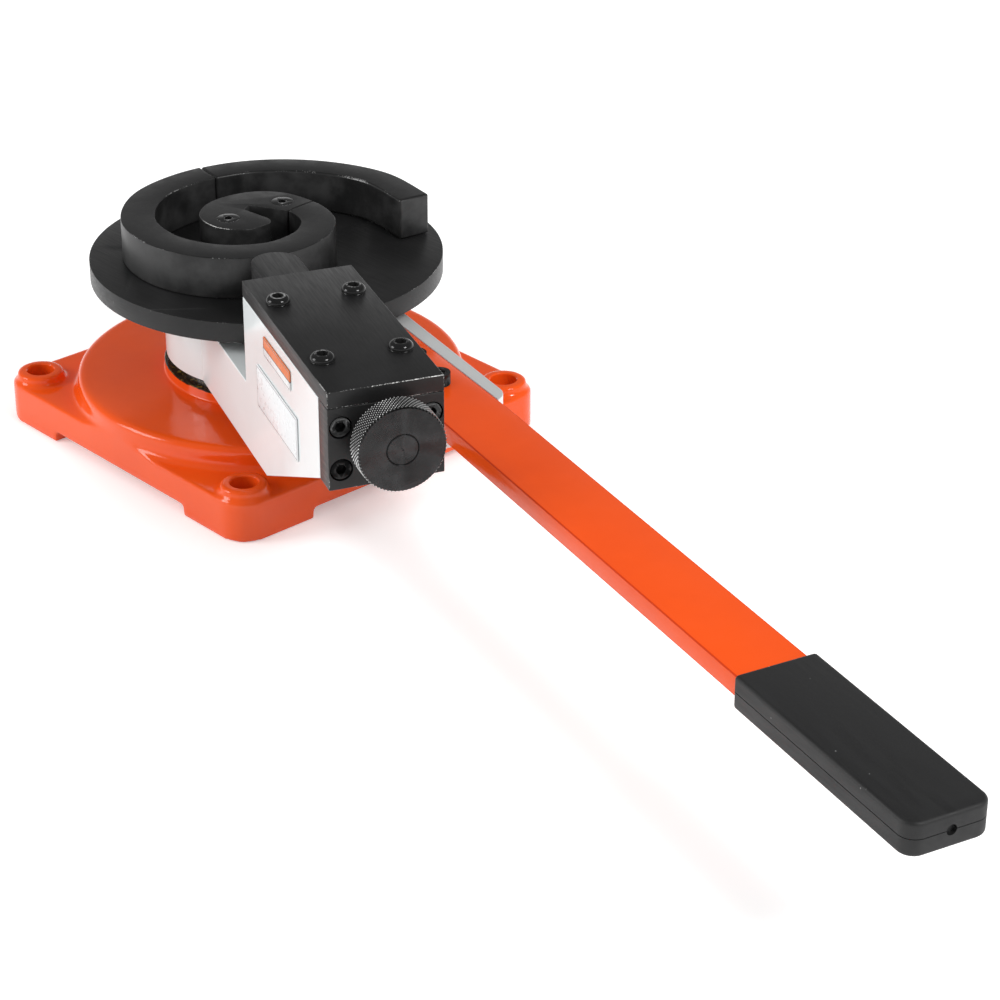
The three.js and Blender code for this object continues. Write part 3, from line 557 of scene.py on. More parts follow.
def darken_boss_grease_and_shade(name, low, high):
    """Enamel darkened towards the top of the pivot boss in runs of uneven length, with dark spots: painted
    shade of the gap under the hub, and grease.
    """
    paint = enamel(name, ORANGE, ORANGE_SHADE, FLAT_WAVINESS)
    height = paint.ramp(paint.split(paint.plain)["Z"], low, high)
    ragged = paint.ramp(paint.noise(90, 4, 0.6), 0.3, 0.7, -0.3, 0.3)
    spotted = paint.blend(paint.noise(240, 3, 0.6), 0.55, 0.68, (0.022, 0.013, 0.005), (0.2, 0.13, 0.02))
    return paint.cover(paint.ramp(paint.calc("ADD", height, ragged), 0.45, 0.75), spotted)


def silver_casting_with_shaded_rib_top(name):
    """The arm's pale enamel, with painted shade on the flat top of the rib beside the lever, which is
    coloured greyer. Its slight blue-green tint offsets the orange light that bounces onto it.
    """
    paint = enamel(name, (0.825, 0.865, 0.87), (0.805, 0.845, 0.85), FLAT_WAVINESS)
    low, high = box_in("lever_bar", LEVER)
    x, y, z = paint.split(paint.place(LEVER_ANGLE))
    beside = paint.ramp(y, low.y, low.y + MM)
    on_top = paint.ramp(z, high.z - 0.6 * MM, high.z - 0.3 * MM)
    outside = paint.ramp(x, HUB_RADIUS, HUB_RADIUS + MM)
    # Painted shade: the top of the rib beside the lever is coloured grey
    return paint.cover(paint.times(paint.times(beside, on_top), outside), (0.53, 0.54, 0.54))


def knurl_wear_and_painted_light(name, centre, radius):
    """Blackened knurling coloured by depth: bright points and black valleys, partly rubbed wear and partly a
    painted highlight on the points and painted shade in the valleys.
    """
    steel = Finish(name, 0.02, 0.32, metallic=0.7)
    valley, tip = radius - 0.55 * KNURL_DEPTH, radius - 0.15 * KNURL_DEPTH
    steel.link("Base Color", steel.blend(steel.distance(centre, (0, 1, 1)), valley, tip, 0.008, 0.66))
    return steel


def blackened(name, colour, shade, angle=0.0, roughness=(0.33, 0.46), grain=0.004 * MM):
    """Blackened steel: cutter marks along one way, cloudy patches, fine scratches and pin specks."""
    steel = Finish(name, colour, sum(roughness) / 2, metallic=0.15, specular=0.34)
    streaks = steel.noise(9, 4, place=steel.place(angle, (6, 90, 90)))
    specks = steel.ramp(steel.noise(1300, 2), 0.78, 0.86)
    across = steel.noise(2.2, 1, place=steel.place(angle + 0.9, (2.5, 210, 60)))
    marks = steel.calc("MAXIMUM", steel.times(specks, 0.5), steel.ramp(across, 0.76, 0.79))
    body = steel.blend(steel.noise(26, 5), 0.35, 0.7, colour, shade)
    marked = steel.mix(steel.times(marks, 0.25), body, 0.2)
    rough = steel.ramp(streaks, 0.25, 0.75, *roughness)
    return steel.surface(marked, rough, (streaks, grain), (steel.noise(420, 3), 0.004 * MM))


def cast_black(name, colour, shade, blotch_scale=75):
    """Blackened cast iron: a pebbled skin with pale rubbed specks, more of them near one place."""
    iron = Finish(name, colour, 0.4, metallic=0.15, specular=0.34)
    blotches = iron.noise(blotch_scale, 4, 0.6)
    rubbed = iron.ramp(iron.noise(620, 3, 0.7), 0.64, 0.76)
    near = iron.ramp(iron.distance(RUBBED_PLACE), 20 * MM, 50 * MM, 1.0, 0.12)
    body = iron.blend(blotches, 0.35, 0.68, colour, shade)
    speckled = iron.mix(iron.times(iron.times(rubbed, near), 0.42), body, 0.2)
    pebbles = iron.noise(330, 5, 0.65)
    rough = iron.ramp(blotches, 0.3, 0.7, 0.3, 0.46)
    return iron.surface(speckled, rough, (pebbles, 0.03 * MM), (blotches, 0.06 * MM))


def edge_wear_and_highlight(name, bright=(0.62, 0.62, 0.61), share=0.5, near=None, dark=0.018):
    """An edge where the black has rubbed through to the steel in short broken stretches; on the eye's lobe
    the same bright marks are a painted highlight.

    With near, as (centre, full within, none beyond), only the edges about a place are marked."""
    steel = Finish(name, dark, 0.36, metallic=0.5)
    fine = steel.noise(900, 3, 0.7)
    start = 1.08 - 0.2 * share
    rubbed = steel.ramp(steel.calc("ADD", fine, steel.noise(38)), start, start + 0.12)
    if near:
        centre, full, none = near
        rubbed = steel.times(rubbed, steel.ramp(steel.distance(centre), full, none, 1.0, 0.06))
    rough = steel.ramp(fine, 0.3, 0.7, 0.3, 0.5)
    return steel.surface(steel.mix(rubbed, dark, bright), rough, (fine, 0.02 * MM))


def turned_black(name, centre):
    """Blackened steel faced on a lathe: its fine rings lean the surface in and out along each radius."""
    steel = Finish(name, (0.06, 0.06, 0.061), 0.3, metallic=0.7, specular=0.4)
    waves = steel.calc("SINE", steel.times(steel.distance(centre, (0, 1, 1)), FULL_TURN / RING_PITCH))
    place = {"Vector": steel.place(ARM_ANGLE, (0, 1, 1), centre), "Rotation": (0, 0, ARM_ANGLE)}
    outward = steel.calc("NORMALIZE", steel.add("Mapping", place), kind="VectorMath")
    lean = steel.calc("MULTIPLY", outward, steel.times(waves, RING_LEAN), kind="VectorMath")
    leaned = steel.calc("ADD", steel.add("NewGeometry", {}, "Normal"), lean, kind="VectorMath")
    normal = steel.calc("NORMALIZE", leaned, kind="VectorMath")
    clouds = steel.noise(60, 4)
    dents = steel.ramp(steel.noise(260, 4, 0.7), 0.64, 0.72)
    body = steel.blend(clouds, 0.35, 0.7, (0.022, 0.022, 0.0225), (0.042, 0.042, 0.043))
    dented = steel.mix(steel.times(dents, 0.1), body, 0.25)
    rough = steel.ramp(clouds, 0.3, 0.7, 0.2, 0.3)
    return steel.surface(dented, rough, (dents, 0.015 * MM), normal=normal)


def grip_rubber(name, colour, shade):
    """Moulded rubber: dull black with faint flow marks and a few pale dust specks."""
    rubber = Finish(name, colour, 0.5, specular=0.36)
    dust = rubber.add("TexVoronoi", {"Vector": rubber.plain, "Scale": 85.0})
    chosen = rubber.ramp(rubber.noise(33, 2), 0.5, 0.62)
    specks = rubber.times(rubber.ramp(dust, 0.03, 0.055, 1.0, 0.0), chosen)
    flow = rubber.noise(4, 4, place=rubber.place(LEVER_ANGLE, (6, 40, 40)))
    body = rubber.mix(specks, rubber.blend(flow, 0.3, 0.7, colour, shade), 0.3)
    rough = rubber.ramp(flow, 0.25, 0.75, 0.46, 0.64)
    return rubber.surface(body, rough, (rubber.noise(1100, 2), 0.006 * MM), (flow, 0.03 * MM))


def ground_metal(name, colour, roughness):
    """Bright ground metal: fine rings of wear round the swing axis and a cloudy sheen."""
    metal = Finish(name, colour, roughness, metallic=1.0)
    fine = metal.noise(160, 3, place=metal.place(0, (1, 1, 12)))
    body = metal.blend(metal.noise(40, 3), 0.3, 0.7, colour, tuple(0.72 * part for part in colour))
    rough = metal.ramp(fine, 0.3, 0.7, roughness - 0.08, roughness + 0.12)
    return metal.surface(body, rough, (fine, 0.01 * MM))


def label_print(name, low, high, plain, band):
    """A printed plate without words: a thin frame line, and on one of them a plain colour band."""
    foil = Finish(name, plain, 0.3, specular=0.4)
    half = (high - low) / 2
    where = foil.split(foil.place(ARM_ANGLE, centre=ARM @ ((low + high) / 2)))
    insets = [
        foil.calc("SUBTRACT", reach, foil.calc("ABSOLUTE", where[way]))
        for way, reach in (("X", half.x), ("Z", half.z))
    ]
    from_line = foil.calc("SUBTRACT", foil.calc("MINIMUM", *insets), LABEL_LINE_INSET)
    inner, outer = 0.6 * LABEL_LINE_WIDTH, 1.4 * LABEL_LINE_WIDTH
    frame_line = foil.ramp(foil.calc("ABSOLUTE", from_line), inner, outer, 1.0, 0.0)
    wear = foil.noise(210, 4)
    body = foil.blend(wear, 0.3, 0.7, plain, tuple(0.98 * part for part in plain))
    if band:
        body = foil.blend(where["Z"], -0.12 * half.z, -0.08 * half.z, body, band)
        off_stripe = foil.calc("ABSOLUTE", foil.calc("ADD", where["Z"], 0.1 * half.z))
        body = foil.mix(foil.ramp(off_stripe, 0.3 * MM, 0.5 * MM, 1.0, 0.0), body, LABEL_LINE)
    lined, rough = foil.mix(frame_line, body, LABEL_LINE), foil.ramp(wear, 0.3, 0.7, 0.24, 0.4)
    return foil.surface(lined, rough, (wear, 0.003 * MM), (frame_line, -0.02 * MM))


ORANGE = (0.92, 0.098, 0.009)
ORANGE_SHADE = (0.86, 0.086, 0.008)
FLAT_WAVINESS = 0.03 * MM
cast_orange = enamel("cast_orange_enamel", ORANGE, ORANGE_SHADE, 0.35 * MM)
seat_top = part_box("base_casting")[1].z
# Enamel for the top of the pivot boss, darkened as painted shade of the gap under the hub and as grease
boss_grease_and_shade_orange = darken_boss_grease_and_shade("orange_enamel_grease_and_gap_shade", seat_top - 2 * MM, seat_top)
bar_orange = enamel("bar_orange_enamel", (0.86, 0.088, 0.008), (0.8, 0.078, 0.007), FLAT_WAVINESS, 0.24)
# Darker orange for the lever's rounded edges: a painted shaded line
lever_edge_shade = Finish("orange_enamel_painted_edge_shade", (0.6, 0.043, 0.005), 0.6, specular=0.08)
silver_white = silver_casting_with_shaded_rib_top("silver_white_enamel")
cover_low, cover_high = box_in("cover_plate", ARM)
front_edge = ARM @ Vector((cover_high.x, (cover_low.y + cover_high.y) / 2, cover_high.z))
black_plate = blackened("blackened_plate", (0.011, 0.011, 0.0112), (0.016, 0.016, 0.0163))
black_arm = blackened("blackened_arm_steel", (0.012, 0.012, 0.0122), (0.017, 0.017, 0.0173), ARM_ANGLE)
black_screw = blackened(
    "blackened_screw", (0.01, 0.01, 0.0102), (0.014, 0.014, 0.0142), roughness=(0.09, 0.17), grain=0.002 * MM
)
black_cast = cast_black("blackened_cast_iron", (0.009, 0.009, 0.0092), (0.015, 0.015, 0.0153))
# A lighter, more mottled copy of the cast black for the upright walls: a painted sheen
wall_sheen_black = cast_black("blackened_cast_wall_painted_sheen", (0.013, 0.013, 0.0132), (0.046, 0.046, 0.0462), 28)
edge_steel = edge_wear_and_highlight("worn_steel_edge", share=0.55, near=(front_edge, 32 * MM, 48 * MM))
edge_ring = edge_wear_and_highlight("worn_screw_edge", 0.4)
edge_cast = edge_wear_and_highlight("worn_cast_edge", 0.3, -0.1)
# A painted highlight on the rim of the eye's near lobe, made with the worn-edge marks
lobe_rim_highlight = edge_wear_and_highlight("painted_highlight_lobe_edge", share=0.8, near=(LOBE_RIM_HIGHLIGHT_PLACE, 9 * MM, 19 * MM))
edge_plate = edge_wear_and_highlight("worn_plate_edge", share=-0.2)
socket_dark = Finish("socket_shadow", 0.004, 0.7, specular=0.15)
black_rubber = grip_rubber("black_grip_rubber", (0.011, 0.011, 0.0113), (0.015, 0.015, 0.0154))
ground_steel = ground_metal("ground_steel", (0.5, 0.5, 0.49), 0.3)
bearing_bronze = ground_metal("bearing_bronze", (0.42, 0.24, 0.08), 0.34)
knob_low, knob_high = box_in("knob", ARM)
knob_middle = ARM @ ((knob_low + knob_high) / 2)
face_black = turned_black("turned_black_face", knob_middle)
knurl_black = knurl_wear_and_painted_light("knurl_wear_and_painted_light", knob_middle, (knob_high.z - knob_low.z) / 2)


# Base


def base_slab(name, half, top):
    """A square slab with round corners, standing on the ground."""
    return prism(name, rounded_rectangle((-half, -half), (half, half), BASE_CORNER_RADIUS), 0, top)


def pedestal(half):
    """The round pedestal with its rounded rim and a fillet at its foot."""
    edge, foot, top = PEDESTAL_EDGE_RADIUS, PEDESTAL_FOOT_FILLET, PEDESTAL_HEIGHT
    profile = [
        (half + foot, FOOT_NOTCH_HEIGHT), (half + foot, FLANGE_HEIGHT),
        *arc(half + foot, FLANGE_HEIGHT + foot, foot, 270, 180),
        *arc(half - edge, top - edge, edge, 0, 90),
    ]
    column = turned("pedestal", profile, LARGE_SIDES)
    return combine(column, [base_slab("outer", half, top + OVERRUN)], "INTERSECT")


def pivot_boss(top):
    """The machined ring that the arm turns on, with a small fillet at its foot."""
    fillet, radius, foot = PIVOT_BOSS_FILLET, PIVOT_BOSS_RADIUS, PEDESTAL_HEIGHT
    profile = [
        (radius + fillet, foot - PIVOT_BOSS_SINK), (radius + fillet, foot),
        *arc(radius + fillet, foot + fillet, fillet, 270, 180),
        (radius, top - PIVOT_BOSS_EDGE), (radius - PIVOT_BOSS_EDGE, top),
    ]
    return turned("pivot_boss", profile, LARGE_SIDES)


def ear_profile():
    """The raised ring of an ear, flared at its foot."""
    wide, edge = EAR_BOSS_RADIUS + EAR_BOSS_SPREAD, EAR_BOSS_SPREAD / 2
    return [
        (wide, 0), (wide, FLANGE_HEIGHT),
        *arc(EAR_BOSS_RADIUS + EAR_FILLET, FLANGE_HEIGHT + EAR_FILLET, EAR_FILLET, 240, 180, 4),
        *arc(EAR_BOSS_RADIUS - edge, EAR_BOSS_TOP - edge, edge, 0, 90, 4),
    ]


def bench_hole_profile():
    """A bench-bolt hole with a small chamfer at its rim."""
    radius, wide = BENCH_HOLE_RADIUS, BENCH_HOLE_RADIUS + BENCH_HOLE_CHAMFER
    return [
        (radius, -OVERRUN), (radius, EAR_BOSS_TOP - BENCH_HOLE_CHAMFER),
        (wide, EAR_BOSS_TOP + 5 * CLOSE), (wide, EAR_BOSS_TOP + OVERRUN),
    ]


def at_ears(name, profile, half):
    """A turned solid at the middle of each ear."""
    ear = half - BASE_CORNER_RADIUS
    places = [(x, y, 0) for x in (-ear, ear) for y in (-ear, ear)]
    return [move(turned(name, profile, HOLE_SIDES), Matrix.Translation(place)) for place in places]


def base_hollow(half):
    """The cored ring under the pedestal, parted by ribs."""
    roof = PEDESTAL_HEIGHT - BASE_ROOF
    hollow = bar("hollow", -OVERRUN, roof, half - BASE_WALL, LARGE_SIDES)
    cut(hollow, bar("core", -2 * OVERRUN, roof + OVERRUN, BASE_CORE_RADIUS, LARGE_SIDES))
    for i in range(BASE_RIB_COUNT):
        rib = block("rib", (0, -BASE_RIB / 2, -2 * OVERRUN), (half, BASE_RIB / 2, roof + OVERRUN))
        cut(hollow, move(rib, Matrix.Rotation(FULL_TURN * (i + 0.5) / BASE_RIB_COUNT, 4, "Z")))
    return hollow


def cast_skin(piece):
    """Melts a rough solid into one skin with soft fillets, as sand casting does."""
    modify(piece, "REMESH", mode="VOXEL", voxel_size=CAST_VOXEL)
    modify(piece, "SMOOTH", factor=CAST_SOFTNESS, iterations=CAST_SMOOTHING)
    modify(piece, "DECIMATE", ratio=min(1, CAST_FACES / len(piece.data.polygons)))


def base_casting():
    half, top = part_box("base_casting")[1].xz
    notch, reach = half - FOOT_LENGTH, half + OVERRUN
    spindle_low, spindle_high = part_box("spindle")
    casting = base_slab("base_casting_cast", half, FLANGE_HEIGHT)
    join(casting, pedestal(half))
    cut(
        casting,
        block("notch", (-reach, -notch, -OVERRUN), (reach, notch, FOOT_NOTCH_HEIGHT)),
        block("notch", (-notch, -reach, -OVERRUN), (notch, reach, FOOT_NOTCH_HEIGHT)),
        base_hollow(half),
    )
    join(casting, bar("core_pad", 0, PEDESTAL_HEIGHT - OVERRUN, BASE_CORE_RADIUS, LARGE_SIDES))
    join(casting, *at_ears("ear_boss", ear_profile(), half))
    cast_skin(casting)
    join(casting, pivot_boss(top))
    cut(
        casting,
        bar("seat", top - SPINDLE_SEAT_DEPTH, top + OVERRUN, spindle_high.x + GAP, LARGE_SIDES),
        bar("spigot", spindle_low.z - GAP, top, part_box("thrust_ring")[1].x / 2),
        *at_ears("bench_hole", bench_hole_profile(), half),
    )
    slots(casting)
    # The faces above the pedestal, on the pivot boss, take the enamel with painted gap shade and grease
    mark_faces(casting, 1, lambda point, normal: point.z > PEDESTAL_HEIGHT + 0.5 * MM)
    return complete(casting, "base", "orange_enamel", "base_casting", cast_orange, boss_grease_and_shade_orange, below=40)


def die_plate():
    low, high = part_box("die_plate")
    plate = slots(turned("die_plate_disc", [(high.x, low.z), (high.x, high.z)], LARGE_SIDES))
    drill_for(plate, [*numbered("plate_screw", 3), *DOWELS])
    bevel(plate, STEEL_EDGE, edge_slot=1)
    return complete(plate, "base", "black_oxide", "die_plate", black_plate, edge_plate)


# Scroll former, its points as complex numbers, x + yj, in metres


plate_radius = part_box("die_plate")[1].x
SPIRAL = [
    cmath.rect(share * plate_radius, SPIRAL_START - math.radians(SPIRAL_STEP) * i)
    for i, share in enumerate(SPIRAL_RADIUS_SHARES)
]


def on_spiral(turn, inset=0.0):
    """A point on the former's outer face, or inset from it, at a turn in degrees from the eye's tip.

    A centripetal spline through the chosen points, taken piece by piece."""
    k = min(int(turn / SPIRAL_STEP), len(SPIRAL) - 2)
    w = turn / SPIRAL_STEP - k
    start, end = SPIRAL[k], SPIRAL[k + 1]
    before = SPIRAL[k - 1] if k else 2 * start - end
    after = SPIRAL[k + 2] if k + 2 < len(SPIRAL) else 2 * end - start
    d0, d1, d2 = (math.sqrt(abs(b - a)) for a, b in ((before, start), (start, end), (end, after)))
    t1 = ((start - before) / d0 - (end - before) / (d0 + d1) + (end - start) / d1) * d1
    t2 = ((end - start) / d1 - (after - start) / (d1 + d2) + (after - end) / d2) * d1
    square, cube = -3 * start + 3 * end - 2 * t1 - t2, 2 * start - 2 * end + t1 + t2
    point = start + t1 * w + square * w * w + cube * w**3
    run = t1 + 2 * square * w + 3 * cube * w * w
    return point - 1j * run / abs(run) * inset


def half_gap(turn):
    """Half the gap at a joint of the former, as a turn in degrees."""
    return math.degrees(JOINT_GAP / 2 / abs(on_spiral(turn)))


def plan(points):
    return [(point.real, point.imag) for point in points]


def complete_former(piece, body, node_name, edge):
    """Gives the upright faces of a former piece their own slot, a lighter and more mottled copy of the cast
    black that paints a sheen on the walls, and completes it.
    """
    mark_faces(piece, 2, lambda point, normal: abs(normal.z) < 0.3)
    return complete(piece, body, "black_cast_iron", node_name, black_cast, edge, wall_sheen_black)


def former_segment(name, start, end):
    """A wall that follows the spiral: a grid laid along it and raised to its height."""
    start, end = start + half_gap(start), end - half_gap(end)
    low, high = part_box(name + "_segment")
    columns = round((end - start) / SPIRAL_SAMPLE)
    add = bpy.ops.mesh.primitive_grid_add
    wall = primitive(name + "_segment_cast", add, x_subdivisions=columns, y_subdivisions=1, size=1)
    for vertex in wall.data.vertices:
        along, across = vertex.co.x + 0.5, vertex.co.y + 0.5
        point = on_spiral(start + (end - start) * along, FORMER_WALL * across)
        vertex.co = (point.real, point.imag, low.z)
    slots(raise_sheet(wall, high.z - low.z), 3)
    bevel(wall, FORMER_EDGE, segments=4, above=45, edge_slot=1)
    drill_for(wall, numbered(name + "_dowel", 2))
    return complete_former(wall, name + "_former", name + "_segment", edge_cast)


def sunk_seat(node_name):
    """The countersink and clearance hole of a sunk screw, from the screw's own place."""
    low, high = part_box(node_name)
    shank, head = SUNK_HEAD.shank + GAP, SUNK_HEAD.head + GAP
    profile = [
        (shank, low.z - GAP), (shank, high.z - SUNK_HEAD.height - GAP), (head, high.z),
        (head, high.z + OVERRUN),
    ]
    return move(turned("sunk_seat", profile), Matrix.Translation((*middle_in(node_name, HERE).xy, 0)))


def centre_eye():
    low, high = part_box("centre_eye")
    end = EYE_TURN - half_gap(EYE_TURN)
    count = round(end / SPIRAL_SAMPLE)
    outline = [on_spiral(end * i / count) for i in range(count + 1)] + [on_spiral(end, FORMER_WALL)]
    eye = slots(prism("centre_eye_cast", plan(outline), low.z, high.z), 3)
    below, above = low.z - OVERRUN, high.z + OVERRUN
    far, near = HOOK_SLOT_CORNER, HOOK_SLOT_CORNER + cmath.rect(HOOK_SLOT_END_WIDTH, HOOK_SLOT_END_ANGLE)
    mouth_near = near + cmath.rect(HOOK_SLOT_LENGTH, HOOK_SLOT_NEAR_ANGLE)
    mouth_far = far + cmath.rect(HOOK_SLOT_LENGTH, HOOK_SLOT_FAR_ANGLE)
    x, y = LOBE_TIP_PLACE
    reach = LOBE_TIP_RADIUS + OVERRUN
    tip = block("tip", (x, y, below), (x + reach, y + reach, above))
    cut(tip, bar("round", below - OVERRUN, above + OVERRUN, LOBE_TIP_RADIUS, place=LOBE_TIP_PLACE))
    cut(eye, prism("slot", plan([far, near, mouth_near, mouth_far]), below, above), tip)
    tidy(eye)
    bevel(eye, FORMER_EDGE, segments=4, above=38, edge_slot=1)
    cut(eye, sunk_seat("eye_screw_1"), sunk_seat("eye_screw_2"))
    # The eye's edges take the painted rim highlight
    return complete_former(eye, "base", "centre_eye", lobe_rim_highlight)


# Screws, each modelled once and copied: z = 0 is under its head, or the top of a sunk one


def key_hole(screw, top):
    """A hexagon socket with a drilled point at its floor and a countersunk mouth."""
    radius, floor = screw.key / math.sqrt(3), top - screw.depth
    cone = [(radius - KEY_MOUTH, top - KEY_MOUTH), (radius + CLOSE, top + CLOSE), (radius, top + MM)]
    return [
        bar("key_hole", floor, top + OVERRUN, radius, HEX_SIDES),
        turned("point", [(KEY_POINT_RADIUS, floor - 0.3 * screw.key), (0.45 * screw.key, floor + CLOSE)]),
        turned("cone", cone),
    ]


def screw_model(screw, head_profile):
    """A screw turned in one piece, with its socket cut and its edges eased."""
    shank, tip = screw.shank, -screw.length
    model = slots(turned("screw", [(shank - SCREW_TIP, tip), (shank, tip + SCREW_TIP), *head_profile]), 3)
    top = head_profile[-1][1]
    inside = screw.key / math.sqrt(3) - 0.1 * MM
    cut(model, *key_hole(screw, top))
    bevel(model, SCREW_EDGE, segments=2, above=40, edge_slot=1)

    def in_socket(point, normal):
        return top - SOCKET_REACH < point.z < top - SOCKET_TOP and math.hypot(point.x, point.y) < inside

    mark_faces(model, 2, in_socket)
    return smooth(model, 40)


def socket_screw(screw):
    return screw_model(screw, [(screw.shank, 0), (screw.head, 0), (screw.head, screw.height)])


def button_screw(screw):
    """A domed head that ends in a small flat round the socket."""
    head, top = screw.head, screw.height
    flat, skirt = DOME_FLAT_SHARE * head, DOME_SKIRT_SHARE * top
    dome = arc(flat, skirt, head - flat, 0, 90, 9, rise=top - skirt)
    model = screw_model(screw, [(screw.shank, 0), (head, 0), *dome])
    mark_faces(model, 1, lambda point, normal: normal.z > 0.97 and point.z > top - 0.3 * MM)
    return model


def sunk_screw(screw):
    return screw_model(screw, [(screw.shank, -screw.height), (screw.head, -0.3 * MM), (screw.head, 0)])


def set_screws(make, screw, name, count, turn, steel, edge):
    """Makes a screw and copies it to its nodes: upright by its top, or along the arm by its outer end."""
    model, rise = make(screw), 0 if make is sunk_screw else screw.height
    body = "base" if turn is HERE else "swing_arm"
    for node_name in numbered(name, count):
        high, middle = box_in(node_name, turn)[1], middle_in(node_name, turn)
        if name == "end_plate_screw":
            seat = laid_at(high.x - rise, middle.y, middle.z)
        else:
            seat = Matrix.Translation((middle.x, middle.y, high.z - rise))
        copy = model.copy()
        copy.data = model.data.copy()
        copy.name = node_name + "_black"
        bpy.context.scene.collection.objects.link(copy)
        dress(move(copy, turn @ seat), body, "black_oxide", node_name, steel, edge, socket_dark)
    bpy.data.objects.remove(model, do_unlink=True)


# Swing frame


def rib_inner_side(place):
    """Offset of the rib's inner face from the lever's axis line, at a place along the lever."""
    lever_side = box_in("lever_bar", LEVER)[1].y
    return lever_side + GAP - (LEVER_TANG_END - place) * math.tan(LEVER_TANG_TAPER)


def beside_rib(start, end, side):
    """Plan of a shape along the lever, from a side to the rib's inner face."""
    return [(start, side), (end, side), (end, rib_inner_side(end)), (start, rib_inner_side(start))]


def lever_seat(bottom, top):
    """The slab beside the housing that carries the lever, with its rounded blade of a rib."""
    radius, side, end = RIB_CORNER_RADIUS, RIB_END_SIDE, RIB_END
    curve = corner(end - radius, side - radius, radius, 0)
    outline = [(0, 0), (end, 0), *curve, (0, side - end * math.tan(RIB_OUTER_TAPER))]
    slab = prism("lever_seat", outline, bottom, top)
    start, past, rise = end - SEAT_CHIN_LENGTH, end + OVERRUN, bottom + SEAT_CHIN_RISE
    chin = [(start, bottom - OVERRUN), (past, bottom - OVERRUN), (past, rise), (end, rise), (start, bottom)]
    return cut(slab, side_prism("chin", chin, -OVERRUN, side + OVERRUN))


def lever_slot():
    """The tapered slot that the lever lies in, with clearance round it."""
    low, high = box_in("lever_bar", LEVER)
    outline = beside_rib(low.x - GAP, RIB_END + OVERRUN, low.y - GAP)
    return prism("slot", outline, low.z - GAP, high.z + OVERRUN)


def frame_pockets(below, slab_top, floor, front):
    """Hollows in the underside of the slab, the housing and the lever seat."""
    wall, rib = POCKET_WALL, POCKET_RIB
    near, far = cover_low.y + wall, cover_high.y - wall
    start, end = cover_low.x + wall / 2, front - wall
    middle = (start + end) / 2
    spans = (
        (SLAB_POCKET_START, cover_low.x - wall / 2, slab_top), (start, middle - rib / 2, floor),
        (middle + rib / 2, end, floor),
    )
    pockets = [
        block("pocket", (first, near, below), (last, far, roof - POCKET_ROOF)) for first, last, roof in spans
    ]
    lever_low = box_in("lever_bar", LEVER)[0]
    start, end = HUB_RADIUS + wall, RIB_END - wall
    middle = (start + end) / 2
    for first, last in ((start, middle - rib / 2), (middle + rib / 2, end)):
        outline = beside_rib(first, last, lever_low.y + wall)
        pocket = prism("pocket", outline, below, lever_low.z - POCKET_ROOF)
        pockets.append(move(pocket, ARM.inverted() @ LEVER))
    return pockets


def swing_frame():
    low, high = box_in("swing_frame", ARM)
    end_low = box_in("end_plate", ARM)[0]
    pusher_low, pusher_high = box_in("pusher_bar", ARM)
    slab_top = box_in("lever_bar", ARM)[1].z
    bottom, below, above = low.z, low.z - OVERRUN, high.z + OVERRUN
    near, far = cover_low.y, cover_high.y
    floor = pusher_low.z - GAP
    front = end_low.x - GAP
    start, past = front - CHIN_LENGTH, front + OVERRUN
    casting = bar("swing_frame_cast", bottom, slab_top, HUB_RADIUS, LARGE_SIDES)
    join(
        casting,
        block("slab", (0, near, bottom), (front, far, slab_top)),
        block("housing", (cover_low.x, near, bottom), (front, far, high.z)),
        move(lever_seat(bottom, slab_top), ARM.inverted() @ LEVER),
    )
    chin = [(start, below), (past, below), (past, end_low.z), (front, end_low.z), (start, bottom)]
    channel_low = (cover_low.x - OVERRUN, pusher_low.y - GAP, floor)
    channel_high = (past, pusher_high.y + GAP, above)
    cut(casting, side_prism("chin", chin, near - OVERRUN, far + OVERRUN))
    cut(casting, *frame_pockets(below, slab_top, floor, front))
    cut(
        casting,
        block("channel", channel_low, channel_high),
        move(lever_slot(), ARM.inverted() @ LEVER),
        bar("bore", below, slab_top + OVERRUN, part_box("lower_bush")[1].x + GAP),
    )
    tidy(casting)
    bevel(casting, FRAME_EDGE_RADIUS, above=30)
    drill_for(move(casting, ARM), numbered("lever_bolt", 3), LEVER)
    modify(smooth(casting), "WEIGHTED_NORMAL", keep_sharp=True)
    return dress(casting, "swing_arm", "silver_enamel", "swing_frame", silver_white)


def steel_block(name, node_name, *cutters):
    """A plate of blackened steel the size of its node, with its edges worn and its holes cut sharp."""
    plate = slots(block(name, *box_in(node_name, ARM)))
    return cut(bevel(plate, STEEL_EDGE, edge_slot=1), *cutters)


def cover_plate():
    cover = steel_block("cover_plate_black", "cover_plate")
    return complete(cover, "swing_arm", "black_oxide", "cover_plate", black_arm, edge_steel, turn=ARM)


def lead_screw_radius():
    low, high = box_in("lead_screw", ARM)
    return (high.z - low.z) / 2


def end_plate():
    low, high = box_in("end_plate", ARM)
    middle = middle_in("lead_screw", ARM)
    deep = high.x - low.x + 2 * OVERRUN
    bore = bar("bore", 0, deep, lead_screw_radius() + GAP)
    cutters = [move(bore, laid_at(low.x - OVERRUN, middle.y, middle.z))]
    for node_name in numbered("end_plate_screw", 4):
        seat, place = box_in(node_name, ARM)[1].x - SOCKET_HEAD.height - GAP, middle_in(node_name, ARM)
        counterbore = bar("counterbore", 0, deep, SOCKET_HEAD.head + MM)
        cutters.append(move(counterbore, laid_at(seat, place.y, place.z)))
    plate = steel_block("end_plate_black", "end_plate", *cutters)
    return complete(plate, "swing_arm", "black_oxide", "end_plate", black_arm, edge_plate, turn=ARM)


